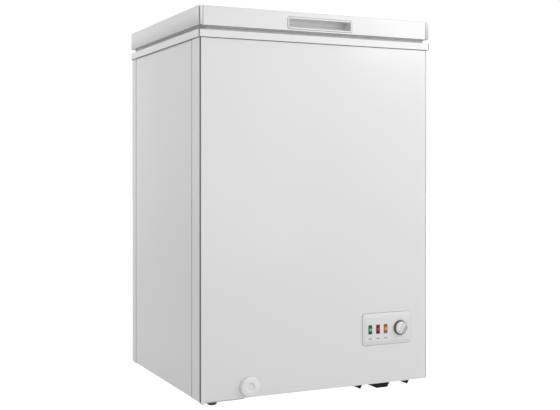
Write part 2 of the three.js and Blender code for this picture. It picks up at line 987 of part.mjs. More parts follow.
// The corrugated sheet under the compressor: two V ribs, with its long edges folded up.
function basePlate() {
  const [bottom, top] = [plateUnderside, plateTop];
  const fold = 26;
  const drop = plateUnderside - ribBottom;
  const under = [[plateLeft, bottom]];
  const over = [[plateLeft + plateSheet, top]];
  for (const side of [-1, 1]) {
    const x = plateCentreX + side * ribHalfSpacing;
    under.push([x - ribHalfWidth, bottom], [x, bottom - drop], [x + ribHalfWidth, bottom]);
    over.push(
      [x - ribHalfWidth + 1, top],
      [x, top - drop + 0.6],
      [x + ribHalfWidth - 1, top],
    );
  }
  under.push([plateRight, bottom], [plateRight, top + fold], [plateRight - plateSheet, top + fold]);
  over.push([plateRight - plateSheet, top]);
  const profile = outline([
    ...under,
    ...over.reverse(),
    [plateLeft + plateSheet, top + fold],
    [plateLeft, top + fold],
  ]);
  const holes = padPoints.map(([x, y]) =>
    turned(rod(4, plateUnderside - 2, plateTop + 2), 12).translate(x, y, 0),
  );
  const plate = join(alongY(profile, plateFront, plateBack), ...mountPoints.map(plateStud));
  return cut(plate, ...holes);
}

const padPoints = [
  [plateCentreX, padSetback + padLength / 2],
  [plateCentreX, cabinetDepth - padSetback - padLength / 2],
];

// A rubber block whose sides spread upwards, with a stud through the plate.
function platePad([x, y]) {
  const top = plateUnderside - clearance;
  const spread = top * 0.6;
  const half = padWidth / 2;
  const wedge = alongY(
    outline([
      [x - half, 0],
      [x + half, 0],
      [x + half + spread, top],
      [x - half - spread, top],
    ]),
    y - padLength / 2,
    y + padLength / 2,
  );
  const stud = turned(
    [
      [0, top - 1],
      [3.5, top - 1],
      [3.5, plateTop + clearance],
      [7, plateTop + clearance],
      [5, plateTop + 4],
      [0, plateTop + 4],
    ],
    12,
  ).translate(x, y, 0);
  return join(wedge, stud);
}

// ---------------------------------------------------------------- feet at the left
const footX = -halfWidth + footCentre;
const footRows = [footCentre, cabinetDepth - footCentre];
const bracketTop = footHeight - clearance;
const bracketBottom = bracketTop - bracketThickness;
const bracketLeft = -halfWidth + 5;
const bracketRight = -halfWidth + 106;
const bracketHalfDepth = 34;
const bracketLip = 2.6; // the outer edge turns down by this much
const bracketScrewX = -halfWidth + 76;
const bracketScrewFromEdge = 8;
const screwHeadHeight = 3.8;
const padTop = 10;
const stemRadius = 4;
const stemTop = 40;
const screwRadius = 2;
const screwTop = footHeight + 9;

// Which way a row's outer edge lies: -1 at the front, 1 at the back.
const outward = (y) => Math.sign(y - cabinetDepth / 2);
const bracketEdge = (y) => y + outward(y) * bracketHalfDepth;
const bracketScrewY = (y) => bracketEdge(y) - outward(y) * bracketScrewFromEdge;

// The room that stems and bracket screws take above the brackets, grown by g.
const footRooms = (g) =>
  footRows.flatMap((y) => [
    turned(rod(stemRadius + g, 0, stemTop + g), 14).translate(footX, y, 0),
    turned(rod(screwRadius + g, 0, screwTop + g), 10).translate(
      bracketScrewX,
      bracketScrewY(y),
      0,
    ),
  ]);

function footBracket(y) {
  const plate = block(
    [bracketLeft, bracketRight],
    [y - bracketHalfDepth, y + bracketHalfDepth],
    [bracketBottom, bracketTop],
  );
  const lipFaces = [bracketEdge(y), bracketEdge(y) - outward(y) * bracketThickness];
  const lip = block(
    [bracketLeft, bracketRight],
    [Math.min(...lipFaces), Math.max(...lipFaces)],
    [bracketBottom - bracketLip, bracketTop],
  );
  const stemHole = turned(rod(stemRadius + clearance, 0, 30), 14).translate(footX, y, 0);
  const screwHole = turned(rod(screwRadius + clearance, 0, 30), 10).translate(
    bracketScrewX,
    bracketScrewY(y),
    0,
  );
  return cut(join(plate, lip), stemHole, screwHole);
}

// The round pad under a foot's stem, domed at its edge.
function footPad(y) {
  return turned(
    [
      [0, 0],
      [footRadius - 1, 0],
      [footRadius, 2.5],
      [footRadius - 1.5, 7],
      [footRadius - 5, padTop],
      [stemRadius + clearance, padTop],
      [stemRadius + clearance, 4],
      [0, 4],
    ],
    18,
  ).translate(footX, y, 0);
}

function footStem(y) {
  const nut = alongZ(
    outline(
      Array.from({ length: 6 }, (_, i) => {
        const angle = (i * Math.PI) / 3;
        return [7 * Math.cos(angle), 7 * Math.sin(angle)];
      }),
    ),
    padTop + clearance,
    bracketBottom - clearance,
  );
  return join(turned(rod(stemRadius, 4 + clearance, stemTop), 14), nut).translate(footX, y, 0);
}

// The rear foot can't be adjusted: its pad is moulded on its stem.
const fixedFoot = (y) =>
  join(
    footPad(y),
    footStem(y),
    turned(rod(stemRadius + 1, 2, padTop + 1), 14).translate(footX, y, 0),
  );

const bracketScrew = (y) =>
  turned(
    [
      [0, bracketBottom - clearance - screwHeadHeight],
      [3.6, bracketBottom - clearance - screwHeadHeight],
      [4.5, bracketBottom - clearance],
      [screwRadius, bracketBottom - clearance],
      [screwRadius, screwTop],
      [0, screwTop],
    ],
    12,
  ).translate(bracketScrewX, bracketScrewY(y), 0);

// ---------------------------------------------------------------- hinges
const hatHalf = hingeChannelWidth / 2;
const hatBack = cabinetDepth + hingeReach;
const hatFace = cabinetDepth + clearance;
const hatTop = hingePinZ - 14;
const hatBottom = hatTop - hingeChannelLength;
const earRadius = 6;
const flangeWidth = 13;
const leafBottom = lidBottom + 3;
const leafTop = overallHeight - 8;
const leafHalf = 30;
const plungerTop = hingePinZ - camReach - clearance;
const plungerHeight = 17;
const plungerHalf = hatHalf - hingeSheet - 0.6;
const springSeat = hatBottom + hingeSheet + clearance;
const springRadius = 6;
const springWire = 1;

// Screw rows on a hinge, as [x, z] from the hinge's middle.
const channelScrewSpots = [-1, 1].flatMap((side) =>
  [hatBottom + 15, hatTop - 20].map((z) => [side * (hatHalf + flangeWidth / 2), z]),
);
const leafScrewSpots = [-1, 1].map((side) => [side * (leafHalf - 6), leafTop - 11]);

function pinHole() {
  return turnedAcross(rod(hingeHoleRadius, -40, 40), 16).translate(0, hingePinY, hingePinZ);
}

// The channel screwed to the cabinet's back: a hat section whose side walls rise to hold the pin.
function hingeChannel(x) {
  const ear = new THREE.Shape();
  ear.moveTo(hatFace, hatBottom);
  ear.lineTo(hatBack, hatBottom);
  ear.lineTo(hatBack, hatTop);
  ear.lineTo(hingePinY + earRadius, hingePinZ);
  ear.absarc(hingePinY, hingePinZ, earRadius, 0, Math.PI);
  ear.lineTo(hatFace, hatTop);
  ear.closePath();
  const walls = [-hatHalf, hatHalf - hingeSheet].map((wall) =>
    alongX(ear, wall, wall + hingeSheet, 6),
  );
  const web = block([-hatHalf, hatHalf], [hatBack - hingeSheet, hatBack], [hatBottom, hatTop - 4]);
  const seat = block([-hatHalf, hatHalf], [hatFace, hatBack], [hatBottom, hatBottom + hingeSheet]);
  const flanges = [-1, 1].map((side) =>
    block(
      side < 0 ? [-hatHalf - flangeWidth, -hatHalf + 1] : [hatHalf - 1, hatHalf + flangeWidth],
      [hatFace, hatFace + hingeSheet],
      [hatBottom, hatTop - 6],
    ),
  );
  const holes = channelScrewSpots.map(([u, z]) =>
    turnedBack(rod(2.4, hatFace - 3, hatFace + 6), 8).translate(u, 0, z),
  );
  return cut(join(...walls, web, seat, ...flanges), pinHole(), ...holes).translate(x, 0, 0);
}

// The cam under the moving leaf. Its height over the plunger falls evenly with the lid's angle,
// so its outline is the involute of a circle.
function leafEar() {
  const fall = camLift / lidTravel; // mm per radian
  const least = camReach - camLift;
  const steps = 10;
  const points = [];
  for (let i = 0; i <= steps; i++) {
    const angle = (lidTravel * i) / steps;
    const reach = camReach - fall * angle;
    points.push([
      reach * Math.sin(angle) - fall * Math.cos(angle),
      -reach * Math.cos(angle) - fall * Math.sin(angle),
    ]);
  }
  for (let angle = lidTravel; angle < 2.7; angle += 0.2) {
    points.push([least * Math.sin(angle), -least * Math.cos(angle)]);
  }
  const plateFace = hatFace - hingePinY;
  points.push(
    [plateFace + hingeSheet, leafBottom + 16 - hingePinZ],
    [plateFace, leafBottom + 16 - hingePinZ],
    [plateFace, 2],
    [-6, -6],
  );
  return outline(points.map(([y, z]) => [y + hingePinY, z + hingePinZ]));
}

function hingeLeaf(x) {
  const outer = hatHalf - hingeSheet - clearance;
  const ears = [-outer, outer - hingeSheet].map((side) =>
    alongX(leafEar(), side, side + hingeSheet),
  );
  const plate = block([-leafHalf, leafHalf], [hatFace, hatFace + hingeSheet], [leafBottom, leafTop]);
  const holes = leafScrewSpots.map(([u, z]) =>
    turnedBack(rod(2.4, hatFace - 3, hatFace + 6), 8).translate(u, 0, z),
  );
  return cut(join(plate, ...ears), pinHole(), ...holes).translate(x, 0, 0);
}

const hingePin = (x) =>
  join(
    turnedAcross(rod(hingePinRadius, -hatHalf - 2, hatHalf + 2), 16),
    turnedAcross(rod(5, hatHalf + clearance, hatHalf + 2), 16),
    turnedAcross(rod(5, -hatHalf - 2, -hatHalf - clearance), 16),
  ).translate(x, hingePinY, hingePinZ);

const hingePlunger = (x) =>
  block(
    [x - plungerHalf, x + plungerHalf],
    [hatFace + 0.6, hatBack - hingeSheet - 0.6],
    [plungerTop - plungerHeight, plungerTop],
  );

function hingeSpring(x) {
  const turns = 8;
  const perTurn = 8;
  const low = springSeat + springWire;
  const high = plungerTop - plungerHeight - clearance - springWire;
  const count = turns * perTurn;
  const path = Array.from({ length: count + 1 }, (_, i) => {
    const angle = (2 * Math.PI * i) / perTurn;
    return new THREE.Vector3(
      x + springRadius * Math.cos(angle),
      (hatFace + hatBack - hingeSheet) / 2 + springRadius * Math.sin(angle),
      low + ((high - low) * i) / count,
    );
  });
  return tube(path, springWire, 4);
}

const anchorSheet = 3;

// A tapped plate behind the sheet metal, with the pan-head screws that a hinge is held by. Each
// screw is one piece with the plate that it is driven into.
function hingeAnchor(x, spots, inner) {
  const head = hatFace + hingeSheet + clearance;
  const profile = [
    [0, inner - anchorSheet - 2],
    [1.8, inner - anchorSheet - 2],
    [1.8, head],
    [4, head],
    [3.2, head + 2.4],
    [0, head + 2.4],
  ];
  const screws = spots.map(([u, z]) => turnedBack(profile, 8).translate(x + u, 0, z));
  return join(anchorPlate(x, spots, inner, 0), ...screws);
}

function anchorPlate(x, spots, inner, g) {
  const margin = 7 + g;
  const xs = spots.map(([u]) => x + u);
  const zs = spots.map(([, z]) => z);
  return block(
    [Math.min(...xs) - margin, Math.max(...xs) + margin],
    [inner - anchorSheet - g, inner],
    [Math.min(...zs) - margin, Math.max(...zs) + margin],
  );
}

// The room that both hinges' anchors take in the foam.
const anchorRoom = (spots, inner) =>
  [-hingeOffset, hingeOffset].flatMap((x) => [
    anchorPlate(x, spots, inner + 1, clearance + 1),
    ...spots.map(([u, z]) =>
      turnedBack(rod(2.4, inner - anchorSheet - 3, inner + 1), 8).translate(x + u, 0, z),
    ),
  ]);

// Holes through the sheet metal for the same screws.
const anchorHoles = (spots, y) =>
  [-hingeOffset, hingeOffset].flatMap((x) =>
    spots.map(([u, z]) => turnedBack(rod(2.4, y - 5, y + 1), 8).translate(x + u, 0, z)),
  );

const cabinetAnchorY = cabinetDepth - sheet - clearance;

// ---------------------------------------------------------------- lid
const lidFront = -overhang;
const lidBack = cabinetDepth;
const lidTopBevel = 5;
const tabInner = lidHalf - lidEndTab;
const fasciaBack = lidFront + fasciaDepth;
const lidAnchorY = lidBack - lidSheet - clearance;

// The lid's outer form, with its top edges rounded, drawn inwards by g and reaching down to bottom.
function lidForm(g, bottom) {
  const [left, right] = [-lidHalf + g, lidHalf - g];
  const [front, back] = [lidFront + g, lidBack - g];
  const top = overallHeight - g;
  const plan = toSolid(
    alongZ(
      roundedRect(0, (front + back) / 2, right - left, back - front, 4),
      bottom,
      top,
      3,
    ),
  );
  const bevel = lidTopBevel;
  const crown = (low, high) =>
    outline([
      [low, bottom - 1],
      [high, bottom - 1],
      [high, top - bevel],
      [high - 0.3 * bevel, top - 0.3 * bevel],
      [high - bevel, top],
      [low + bevel, top],
      [low + 0.3 * bevel, top - 0.3 * bevel],
      [low, top - bevel],
    ]);
  const across = toSolid(alongX(crown(front, back), left - 1, right + 1));
  const along = toSolid(alongY(crown(left, right), front - 1, back + 1));
  return plan.intersect(across).intersect(along);
}

function lidShell() {
  const fasciaSpace = block(
    [-tabInner, tabInner],
    [lidFront - 1, fasciaBack + clearance],
    [lidBottom - 1, overallHeight + 1],
  );
  const shell = lidForm(0, lidBottom)
    .subtract(lidForm(lidSheet, lidBottom - 1))
    .subtract(toSolid(fasciaSpace));
  return cut(toGeometry(shell), ...anchorHoles(leafScrewSpots, lidBack));
}

// The pocket's hollow, seen from the side: its floor climbs and its ceiling rises a little.
function pocketProfile(grow, mouth) {
  const half = handleHeight / 2 - handleBezel;
  const ceilingRise = 4;
  return outline([
    [mouth, handleCentreZ - half - grow],
    [lidFront + handleDepth + grow, handleCentreZ - half + handleFloorRise - grow],
    [lidFront + handleDepth + grow, handleCentreZ + half + ceilingRise + grow],
    [mouth, handleCentreZ + half + grow],
  ]);
}

function pocket(grow, mouth) {
  const half = handleWidth / 2 - handleBezel;
  return alongX(pocketProfile(grow, mouth), -half - grow, half + grow);
}

// The plastic strip along the lid's front edge, with the handle pocket moulded in.
function lidFascia() {
  const [front, back] = [lidFront, fasciaBack];
  const [bottom, top] = [lidBottom, overallHeight];
  const w = fasciaWall;
  const bevel = lidTopBevel;
  const section = outline([
    [front, bottom],
    [back, bottom],
    [back, bottom + w],
    [front + w, bottom + w],
    [front + w, top - bevel - 1],
    [front + bevel + 1, top - w],
    [back, top - w],
    [back, top],
    [front + bevel, top],
    [front + 0.3 * bevel, top - 0.3 * bevel],
    [front, top - bevel],
  ]);
  const strip = alongX(section, -tabInner + clearance, tabInner - clearance);
  const rim = alongY(
    roundedRect(0, handleCentreZ, handleWidth, handleHeight, handleBezel + 1),
    front - handleProud,
    front + 1,
    4,
  );
  return cut(join(strip, rim, pocket(handleWall, front + 1)), pocket(0, front - 5));
}

const plateauInset = lidPlateauGap;
const plateauX = linerHalf + ledgeWidth - plateauInset;
const plateauFront = linerFront - ledgeWidth + plateauInset;
const plateauBack = linerBack + ledgeWidth - plateauInset;
const plateauBottom = collarTop - lidPlateauDrop;
const innerPanelSheet = 1.5;
const innerPanelFront = fasciaBack + 2 * clearance;

// A raised field on the lid's underside, drawn inwards by g.
const plateau = (g, bottom, top) =>
  alongZ(
    roundedRect(
      0,
      (plateauFront + plateauBack) / 2,
      2 * (plateauX - g),
      plateauBack - plateauFront - 2 * g,
      15,
    ),
    bottom,
    top,
    3,
  );

function lidInnerPanel() {
  const bottom = lidBottom + clearance;
  const within = block(
    [-lidHalf, lidHalf],
    [innerPanelFront, lidBack],
    [bottom, bottom + innerPanelSheet],
  );
  const rim = toGeometry(lidForm(lidSheet + clearance, bottom).intersect(toSolid(within)));
  const field = plateau(0, plateauBottom, lidBottom + 1);
  const hollow = plateau(innerPanelSheet, plateauBottom + innerPanelSheet, lidBottom + 10);
  return cut(join(rim, field), hollow);
}

function lidFoam() {
  const inset = lidSheet + clearance;
  const bottom = lidBottom + 2 * clearance + innerPanelSheet;
  const ahead = block(
    [-400, 400],
    [lidFront - 10, innerPanelFront],
    [lidBottom - 10, overallHeight + 10],
  );
  const core = lidForm(inset, bottom).subtract(toSolid(ahead));
  const field = toSolid(
    plateau(innerPanelSheet + clearance, plateauBottom + innerPanelSheet + clearance, bottom + 1),
  );
  const pocketRoom = toSolid(pocket(handleWall + clearance, lidFront));
  const anchors = anchorRoom(leafScrewSpots, lidAnchorY).map(toSolid);
  return toGeometry(
    [pocketRoom, ...anchors].reduce((rest, tool) => rest.subtract(tool), core.add(field)),
  );
}

const gasketInset = 5;
const gasketWidth = 16;

// A soft seal round the lid's underside, with the fold of its bellows as a groove on the outside.
function lidGasket() {
  const ring = (inset) => [
    [-lidHalf + inset, lidHalf - inset],
    [lidFront + inset, lidBack - inset],
  ];
  const [bottom, top] = [collarTop + clearance, lidBottom - clearance];
  const grooveDepth = 2.5;
  const grooveBottom = bottom + 1.5;
  const outer = block(...ring(gasketInset), [bottom, top]);
  const inner = block(...ring(gasketInset + gasketWidth), [bottom - 1, top + 1]);
  const groove = cut(
    block(...ring(gasketInset - 1), [grooveBottom, top - 2]),
    block(...ring(gasketInset + grooveDepth), [bottom, top]),
  );
  return cut(outer, inner, groove);
}

// ---------------------------------------------------------------- basket
const basketCentreX = linerHalf - basketWidth / 2 - 6;
const hookTop = ledgeZ + clearance + wire;
const basketGap = 7; // from the liner's front and back walls
const basketTopZ = ledgeZ - 8;
const basketBottomZ = hookTop - basketDepth;

function basket() {
  const r = wire / 2;
  const [left, right] = [basketCentreX - basketWidth / 2 + r, basketCentreX + basketWidth / 2 - r];
  const [front, back] = [linerFront + basketGap + r, linerBack - basketGap - r];
  const taper = 10; // the basket narrows towards its bottom
  const bottom = basketBottomZ + r;
  const hoop = (z, inset) => {
    const corners = [
      [0.5 * (left + right), front + inset, z],
      [right - inset, front + inset, z],
      [right - inset, back - inset, z],
      [left + inset, back - inset, z],
      [left + inset, front + inset, z],
      [0.5 * (left + right) + 0.5, front + inset, z],
    ];
    return tube(bent(corners, 14, 1), r * Math.SQRT2, 4);
  };
  const wires = [hoop(basketTopZ, 0), hoop(bottom + 60, 0.7 * taper)];
  for (let x = left + taper + 8; x < right - taper - 4; x += basketPitch) {
    const corners = [
      [x, front, basketTopZ],
      [x, front + taper, bottom],
      [x, back - taper, bottom],
      [x, back, basketTopZ],
    ];
    wires.push(tube(bent(corners, 12, 1), r * Math.SQRT2, 4));
  }
  const runs = Math.round((back - front) / basketPitch);
  for (let i = 1; i < runs; i++) {
    const y = front + ((back - front) * i) / runs;
    const corners = [
      [left, y, basketTopZ],
      [left + taper, y, bottom],
      [right - taper, y, bottom],
      [right, y, basketTopZ],
    ];
    wires.push(tube(bent(corners, 12, 1), r * Math.SQRT2, 4));
  }
  // two hangers at each end rest on the ledges
  const hookZ = hookTop - r;
  const reach = basketGap + ledgeWidth - 3;
  for (const [wall, out] of [[front, -1], [back, 1]]) {
    const corners = [
      [left + 22, wall, basketTopZ - 10],
      [left + 22, wall, hookZ],
      [left + 22, wall + out * reach, hookZ],
      [right - 22, wall + out * reach, hookZ],
      [right - 22, wall, hookZ],
      [right - 22, wall, basketTopZ - 10],
    ];
    wires.push(tube(bent(corners, 5, 1), r * Math.SQRT2, 4));
  }
  return join(...wires);
}

// ---------------------------------------------------------------- assembly
piece("front_panel", frontPanel(), finish.whiteSteel);
piece("left_side_panel", sidePanel(-1), finish.whiteSteel);
piece("right_side_panel", sidePanel(1), finish.whiteSteel);
piece("back_panel", backPanel(), finish.zinc);
piece("base_panel", basePanel(), finish.zinc);
piece("compartment_partition", partition(), finish.zinc);
piece("rear_cover", rearCover(), finish.zinc);
piece("cord_inlet_gland", cordGland(), finish.black);
piece("top_collar", collar(), finish.whitePlastic);
piece("inner_liner", innerLiner(), finish.linerWhite);
piece("cabinet_foam", cabinetFoam(), finish.foam);
piece("evaporator_tube", tube(evaporatorPath(), tubeRadius), finish.copper);
piece("condenser_tube", tube(condenserPath(), tubeRadius), finish.copper);

piece("drain_pipe", drainPipe(), finish.greyPlastic);
piece("drain_spout", drainSpout(), finish.greyPlastic);
piece("drain_dial", drainDial(), finish.greyPlastic);
piece("drain_plug", drainPlug(), finish.whitePlastic);

piece("control_housing", controlHousing(), finish.decal);
const lampColours = { power_lamp: finish.green, alarm_lamp: finish.red, fast_freeze_lamp: finish.orange };
Object.entries(lampColours).forEach(([name, colour], i) => {
  piece(name, lampLens(lampCentres()[i]), colour);
});
piece("thermostat_body", thermostatBody(), finish.whitePlastic);
piece("thermostat_spindle", thermostatSpindle(), finish.zinc);
piece("thermostat_knob", thermostatKnob(), finish.whitePlastic);

piece("compressor", compressor(), finish.black);
piece("terminal_cover", terminalCover(), finish.black);
mountPoints.forEach((place, i) => {
  piece(`compressor_grommet_${i + 1}`, grommet(place), finish.darkRubber);
});
piece("compressor_plate", basePlate(), finish.black);
piece("front_right_foot", platePad(padPoints[0]), finish.black);
piece("rear_right_foot", platePad(padPoints[1]), finish.black);

const [frontRow, rearRow] = footRows;
piece("front_foot_bracket", footBracket(frontRow), finish.zinc);
piece("rear_foot_bracket", footBracket(rearRow), finish.zinc);
piece("front_left_foot", footPad(frontRow), finish.darkRubber);
piece("front_left_foot_stem", footStem(frontRow), finish.zinc);
piece("rear_left_foot", fixedFoot(rearRow), finish.darkRubber);
piece("front_bracket_screw", bracketScrew(frontRow), finish.zinc);
piece("rear_bracket_screw", bracketScrew(rearRow), finish.zinc);

for (const [side, x] of [["left", -hingeOffset], ["right", hingeOffset]]) {
  piece(`${side}_hinge_channel`, hingeChannel(x), finish.zinc);
  piece(`${side}_hinge_leaf`, hingeLeaf(x), finish.zinc);
  piece(`${side}_hinge_pin`, hingePin(x), finish.zinc);
  piece(`${side}_hinge_plunger`, hingePlunger(x), finish.black);
  piece(`${side}_hinge_spring`, hingeSpring(x), finish.zinc);
  piece(`${side}_channel_anchor`, hingeAnchor(x, channelScrewSpots, cabinetAnchorY), finish.zinc);
  piece(`${side}_leaf_anchor`, hingeAnchor(x, leafScrewSpots, lidAnchorY), finish.zinc);
}

piece("lid_shell", lidShell(), finish.whiteSteel);
piece("lid_fascia", lidFascia(), finish.whitePlastic);
piece("lid_inner_panel", lidInnerPanel(), finish.linerWhite);
piece("lid_foam", lidFoam(), finish.foam);
piece("lid_gasket", lidGasket(), finish.rubberWhite);
piece("wire_basket", basket(), finish.coatedWire);

export default freezer;
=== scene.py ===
"""A compact chest freezer: looks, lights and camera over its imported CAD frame, in metres."""

import json
import math

import bmesh
import bpy
from mathutils import Matrix, Vector


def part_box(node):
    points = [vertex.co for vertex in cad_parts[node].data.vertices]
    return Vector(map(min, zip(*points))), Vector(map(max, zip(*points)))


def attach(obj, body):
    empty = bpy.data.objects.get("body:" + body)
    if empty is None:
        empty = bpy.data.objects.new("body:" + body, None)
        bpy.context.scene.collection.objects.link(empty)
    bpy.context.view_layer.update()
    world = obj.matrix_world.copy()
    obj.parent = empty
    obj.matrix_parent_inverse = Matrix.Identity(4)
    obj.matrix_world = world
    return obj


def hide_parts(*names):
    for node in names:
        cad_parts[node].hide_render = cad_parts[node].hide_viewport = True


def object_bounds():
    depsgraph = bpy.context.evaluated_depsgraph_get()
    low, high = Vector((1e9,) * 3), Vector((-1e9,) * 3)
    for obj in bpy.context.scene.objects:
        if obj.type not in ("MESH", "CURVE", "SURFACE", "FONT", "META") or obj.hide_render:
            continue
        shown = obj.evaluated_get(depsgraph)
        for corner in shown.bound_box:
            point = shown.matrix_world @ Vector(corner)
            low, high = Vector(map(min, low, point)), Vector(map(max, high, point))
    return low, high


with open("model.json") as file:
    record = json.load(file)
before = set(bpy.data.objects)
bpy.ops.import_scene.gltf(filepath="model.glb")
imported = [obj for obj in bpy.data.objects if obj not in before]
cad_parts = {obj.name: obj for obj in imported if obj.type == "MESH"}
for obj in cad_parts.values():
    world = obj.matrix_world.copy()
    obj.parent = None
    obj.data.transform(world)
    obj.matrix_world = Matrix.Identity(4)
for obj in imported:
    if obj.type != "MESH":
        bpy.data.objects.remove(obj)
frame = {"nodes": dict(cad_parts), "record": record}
cad_low, cad_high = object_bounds()
MM = 0.001
NODES = frame["nodes"]
COAT_ROUGHNESS = 0.12
EDGE_SOFTNESS = 0.35 * MM


# ---------------------------------------------------------------- materials
class Shader:
    """A Principled material whose colour, roughness and bump come from procedural nodes."""

    def __init__(self, name, color, roughness, metallic=0.0, coat=0.0, specular=0.5):
        self.material = bpy.data.materials.new(name)
        self.material.use_nodes = True
        self.tree = self.material.node_tree
        self.bsdf = self.tree.nodes["Principled BSDF"]
        self.color = color
        self.bsdf.inputs["Base Color"].default_value = (*color, 1)
        self.bsdf.inputs["Roughness"].default_value = roughness
        self.bsdf.inputs["Metallic"].default_value = metallic
        self.bsdf.inputs["Coat Weight"].default_value = coat
        self.bsdf.inputs["Coat Roughness"].default_value = COAT_ROUGHNESS
        self.bsdf.inputs["Specular IOR Level"].default_value = specular
        self.place = self.node("ShaderNodeTexCoord").outputs["Object"]

    def node(self, kind, **values):
        made = self.tree.nodes.new(kind)
        for key, value in values.items():
            made.inputs[key.replace("_", " ")].default_value = value
        return made

    def link(self, source, target):
        self.tree.links.new(source, target)

    def noise(self, scale, detail=3.0, roughness=0.5, stretch=None):
        texture = self.node("ShaderNodeTexNoise", Scale=scale, Detail=detail, Roughness=roughness)
        place = self.place
        if stretch:
            mapping = self.node("ShaderNodeMapping")
            mapping.inputs["Scale"].default_value = stretch
            self.link(place, mapping.inputs["Vector"])
            place = mapping.outputs["Vector"]
        self.link(place, texture.inputs["Vector"])
        return texture.outputs["Fac"]

    def cells(self, scale):
        texture = self.node("ShaderNodeTexVoronoi", Scale=scale)
        self.link(self.place, texture.inputs["Vector"])
        return texture

    def ramp(self, source, low, high, start=0.3, end=0.7):
        """Maps source between start and end on to low to high, which are numbers."""
        span = self.node("ShaderNodeMapRange")
        span.inputs["From Min"].default_value = start
        span.inputs["From Max"].default_value = end
        span.inputs["To Min"].default_value = low
        span.inputs["To Max"].default_value = high
        self.link(source, span.inputs["Value"])
        return span.outputs["Result"]

    def tint(self, source, amount, other=None, start=0.3, end=0.7):
        """Varies the base colour by up to amount towards other, or towards a darker shade."""
        mix = self.node("ShaderNodeMix")
        mix.data_type = "RGBA"
        darker = other or tuple(c * 0.75 for c in self.color)
        base = self.bsdf.inputs["Base Color"]
        if base.is_linked:
            self.link(base.links[0].from_socket, mix.inputs["A"])
        else:
            mix.inputs["A"].default_value = (*self.color, 1)
        mix.inputs["B"].default_value = (*darker, 1)
        self.link(self.ramp(source, 0.0, amount, start, end), mix.inputs["Factor"])
        self.link(mix.outputs["Result"], base)
        return self

    def polish(self, source, low, high, start=0.3, end=0.7):
        """Varies the roughness between low and high."""
        self.link(self.ramp(source, low, high, start, end), self.bsdf.inputs["Roughness"])
        return self

    def bump(self, source, depth_mm, strength):
        """Adds relief to any that is there already."""
        bump = self.node("ShaderNodeBump")
        bump.inputs["Distance"].default_value = depth_mm * MM
        bump.inputs["Strength"].default_value = strength
        self.link(source, bump.inputs["Height"])
        normal = self.bsdf.inputs["Normal"]
        if normal.is_linked:
            self.link(normal.links[0].from_socket, bump.inputs["Normal"])
        self.link(bump.outputs["Normal"], normal)
        return self


def enamel(name, color):
    """Baked enamel on sheet steel: a fine orange peel over slow waves in tone and gloss."""
    s = Shader(name, color, 0.3, coat=0.25)
    s.bump(s.noise(420, 2.0), 0.05, 0.35).bump(s.noise(5, 1.0), 0.5, 0.12)
    s.tint(s.noise(3, 2.0), 0.08, start=0.0, end=1.0)
    return s.polish(s.noise(9, 2.0), 0.24, 0.40, 0.0, 1.0).material


def moulded(name, color, roughness=0.38, grain=0.03, coat=0.0):
    """Injection-moulded plastic: a fine spark-eroded grain and a slow drift of gloss."""
    s = Shader(name, color, roughness, coat=coat)
    s.bump(s.noise(1500, 2.0), grain, 0.4)
    s.tint(s.noise(8, 3.0), 0.05)
    return s.polish(s.noise(25, 4.0), roughness - 0.05, roughness + 0.06).material


def galvanised(name):
    """Zinc-coated sheet with its spangle: crystals that differ a little in tone and gloss."""
    s = Shader(name, (0.52, 0.53, 0.54), 0.42, metallic=0.85)
    crystals = s.cells(75).outputs["Color"]
    s.tint(crystals, 0.5, (0.36, 0.37, 0.39), 0.1, 0.9)
    s.bump(s.noise(300, 3.0), 0.02, 0.3)
    return s.polish(crystals, 0.32, 0.52, 0.1, 0.9).material


def plated(name, color=(0.62, 0.62, 0.61)):
    """Bright zinc plating with fine drawn lines and a few dull patches."""
    s = Shader(name, color, 0.3, metallic=0.95)
    s.bump(s.noise(700, 2.0, 0.6, (1, 1, 0.1)), 0.02, 0.35)
    s.tint(s.noise(90, 4.0), 0.35, tuple(c * 0.6 for c in color))
    return s.polish(s.noise(150, 4.0), 0.24, 0.45).material


def stucco_liner(name):
    """White coated aluminium with an embossed stucco pattern."""
    s = Shader(name, (0.80, 0.82, 0.83), 0.33, coat=0.2)
    s.bump(s.noise(120, 1.0, 0.3), 0.35, 0.5).bump(s.noise(900, 2.0), 0.02, 0.3)
    s.tint(s.noise(14, 4.0), 0.06)
    return s.polish(s.noise(30, 4.0), 0.28, 0.4).material


def rubber(name, color, roughness=0.6):
    """Matt rubber with a grain and paler, worn patches."""
    s = Shader(name, color, roughness)
    s.bump(s.noise(900, 3.0, 0.6), 0.05, 0.5)
    s.tint(s.noise(70, 5.0, 0.7), 0.4, tuple(c * 1.7 + 0.015 for c in color), 0.5, 0.8)
    return s.polish(s.noise(120, 4.0), roughness - 0.08, roughness + 0.12).material


def black_enamel(name):
    """Stoved black paint, a little dusty and worn to grey in places."""
    s = Shader(name, (0.008, 0.008, 0.009), 0.36, coat=0.08, specular=0.2)
    s.bump(s.noise(350, 3.0), 0.06, 0.5)
    s.tint(s.noise(45, 6.0, 0.7), 0.4, (0.05, 0.05, 0.048), 0.55, 0.85)
    return s.polish(s.noise(80, 4.0), 0.25, 0.5).material


def copper(name):
    """Copper tube, tarnished brown in patches."""
    s = Shader(name, (0.72, 0.36, 0.22), 0.32, metallic=0.95)
    s.bump(s.noise(400, 3.0), 0.02, 0.3)
    s.tint(s.noise(40, 5.0, 0.65), 0.6, (0.35, 0.17, 0.11))
    return s.polish(s.noise(60, 4.0), 0.25, 0.5).material


def foam(name):
    """Poured insulation foam with open cells."""
    s = Shader(name, (0.76, 0.66, 0.36), 0.9)
    s.bump(s.cells(500).outputs["Distance"], 0.3, 0.6)
    return s.tint(s.noise(30, 4.0), 0.3, (0.62, 0.50, 0.24)).material


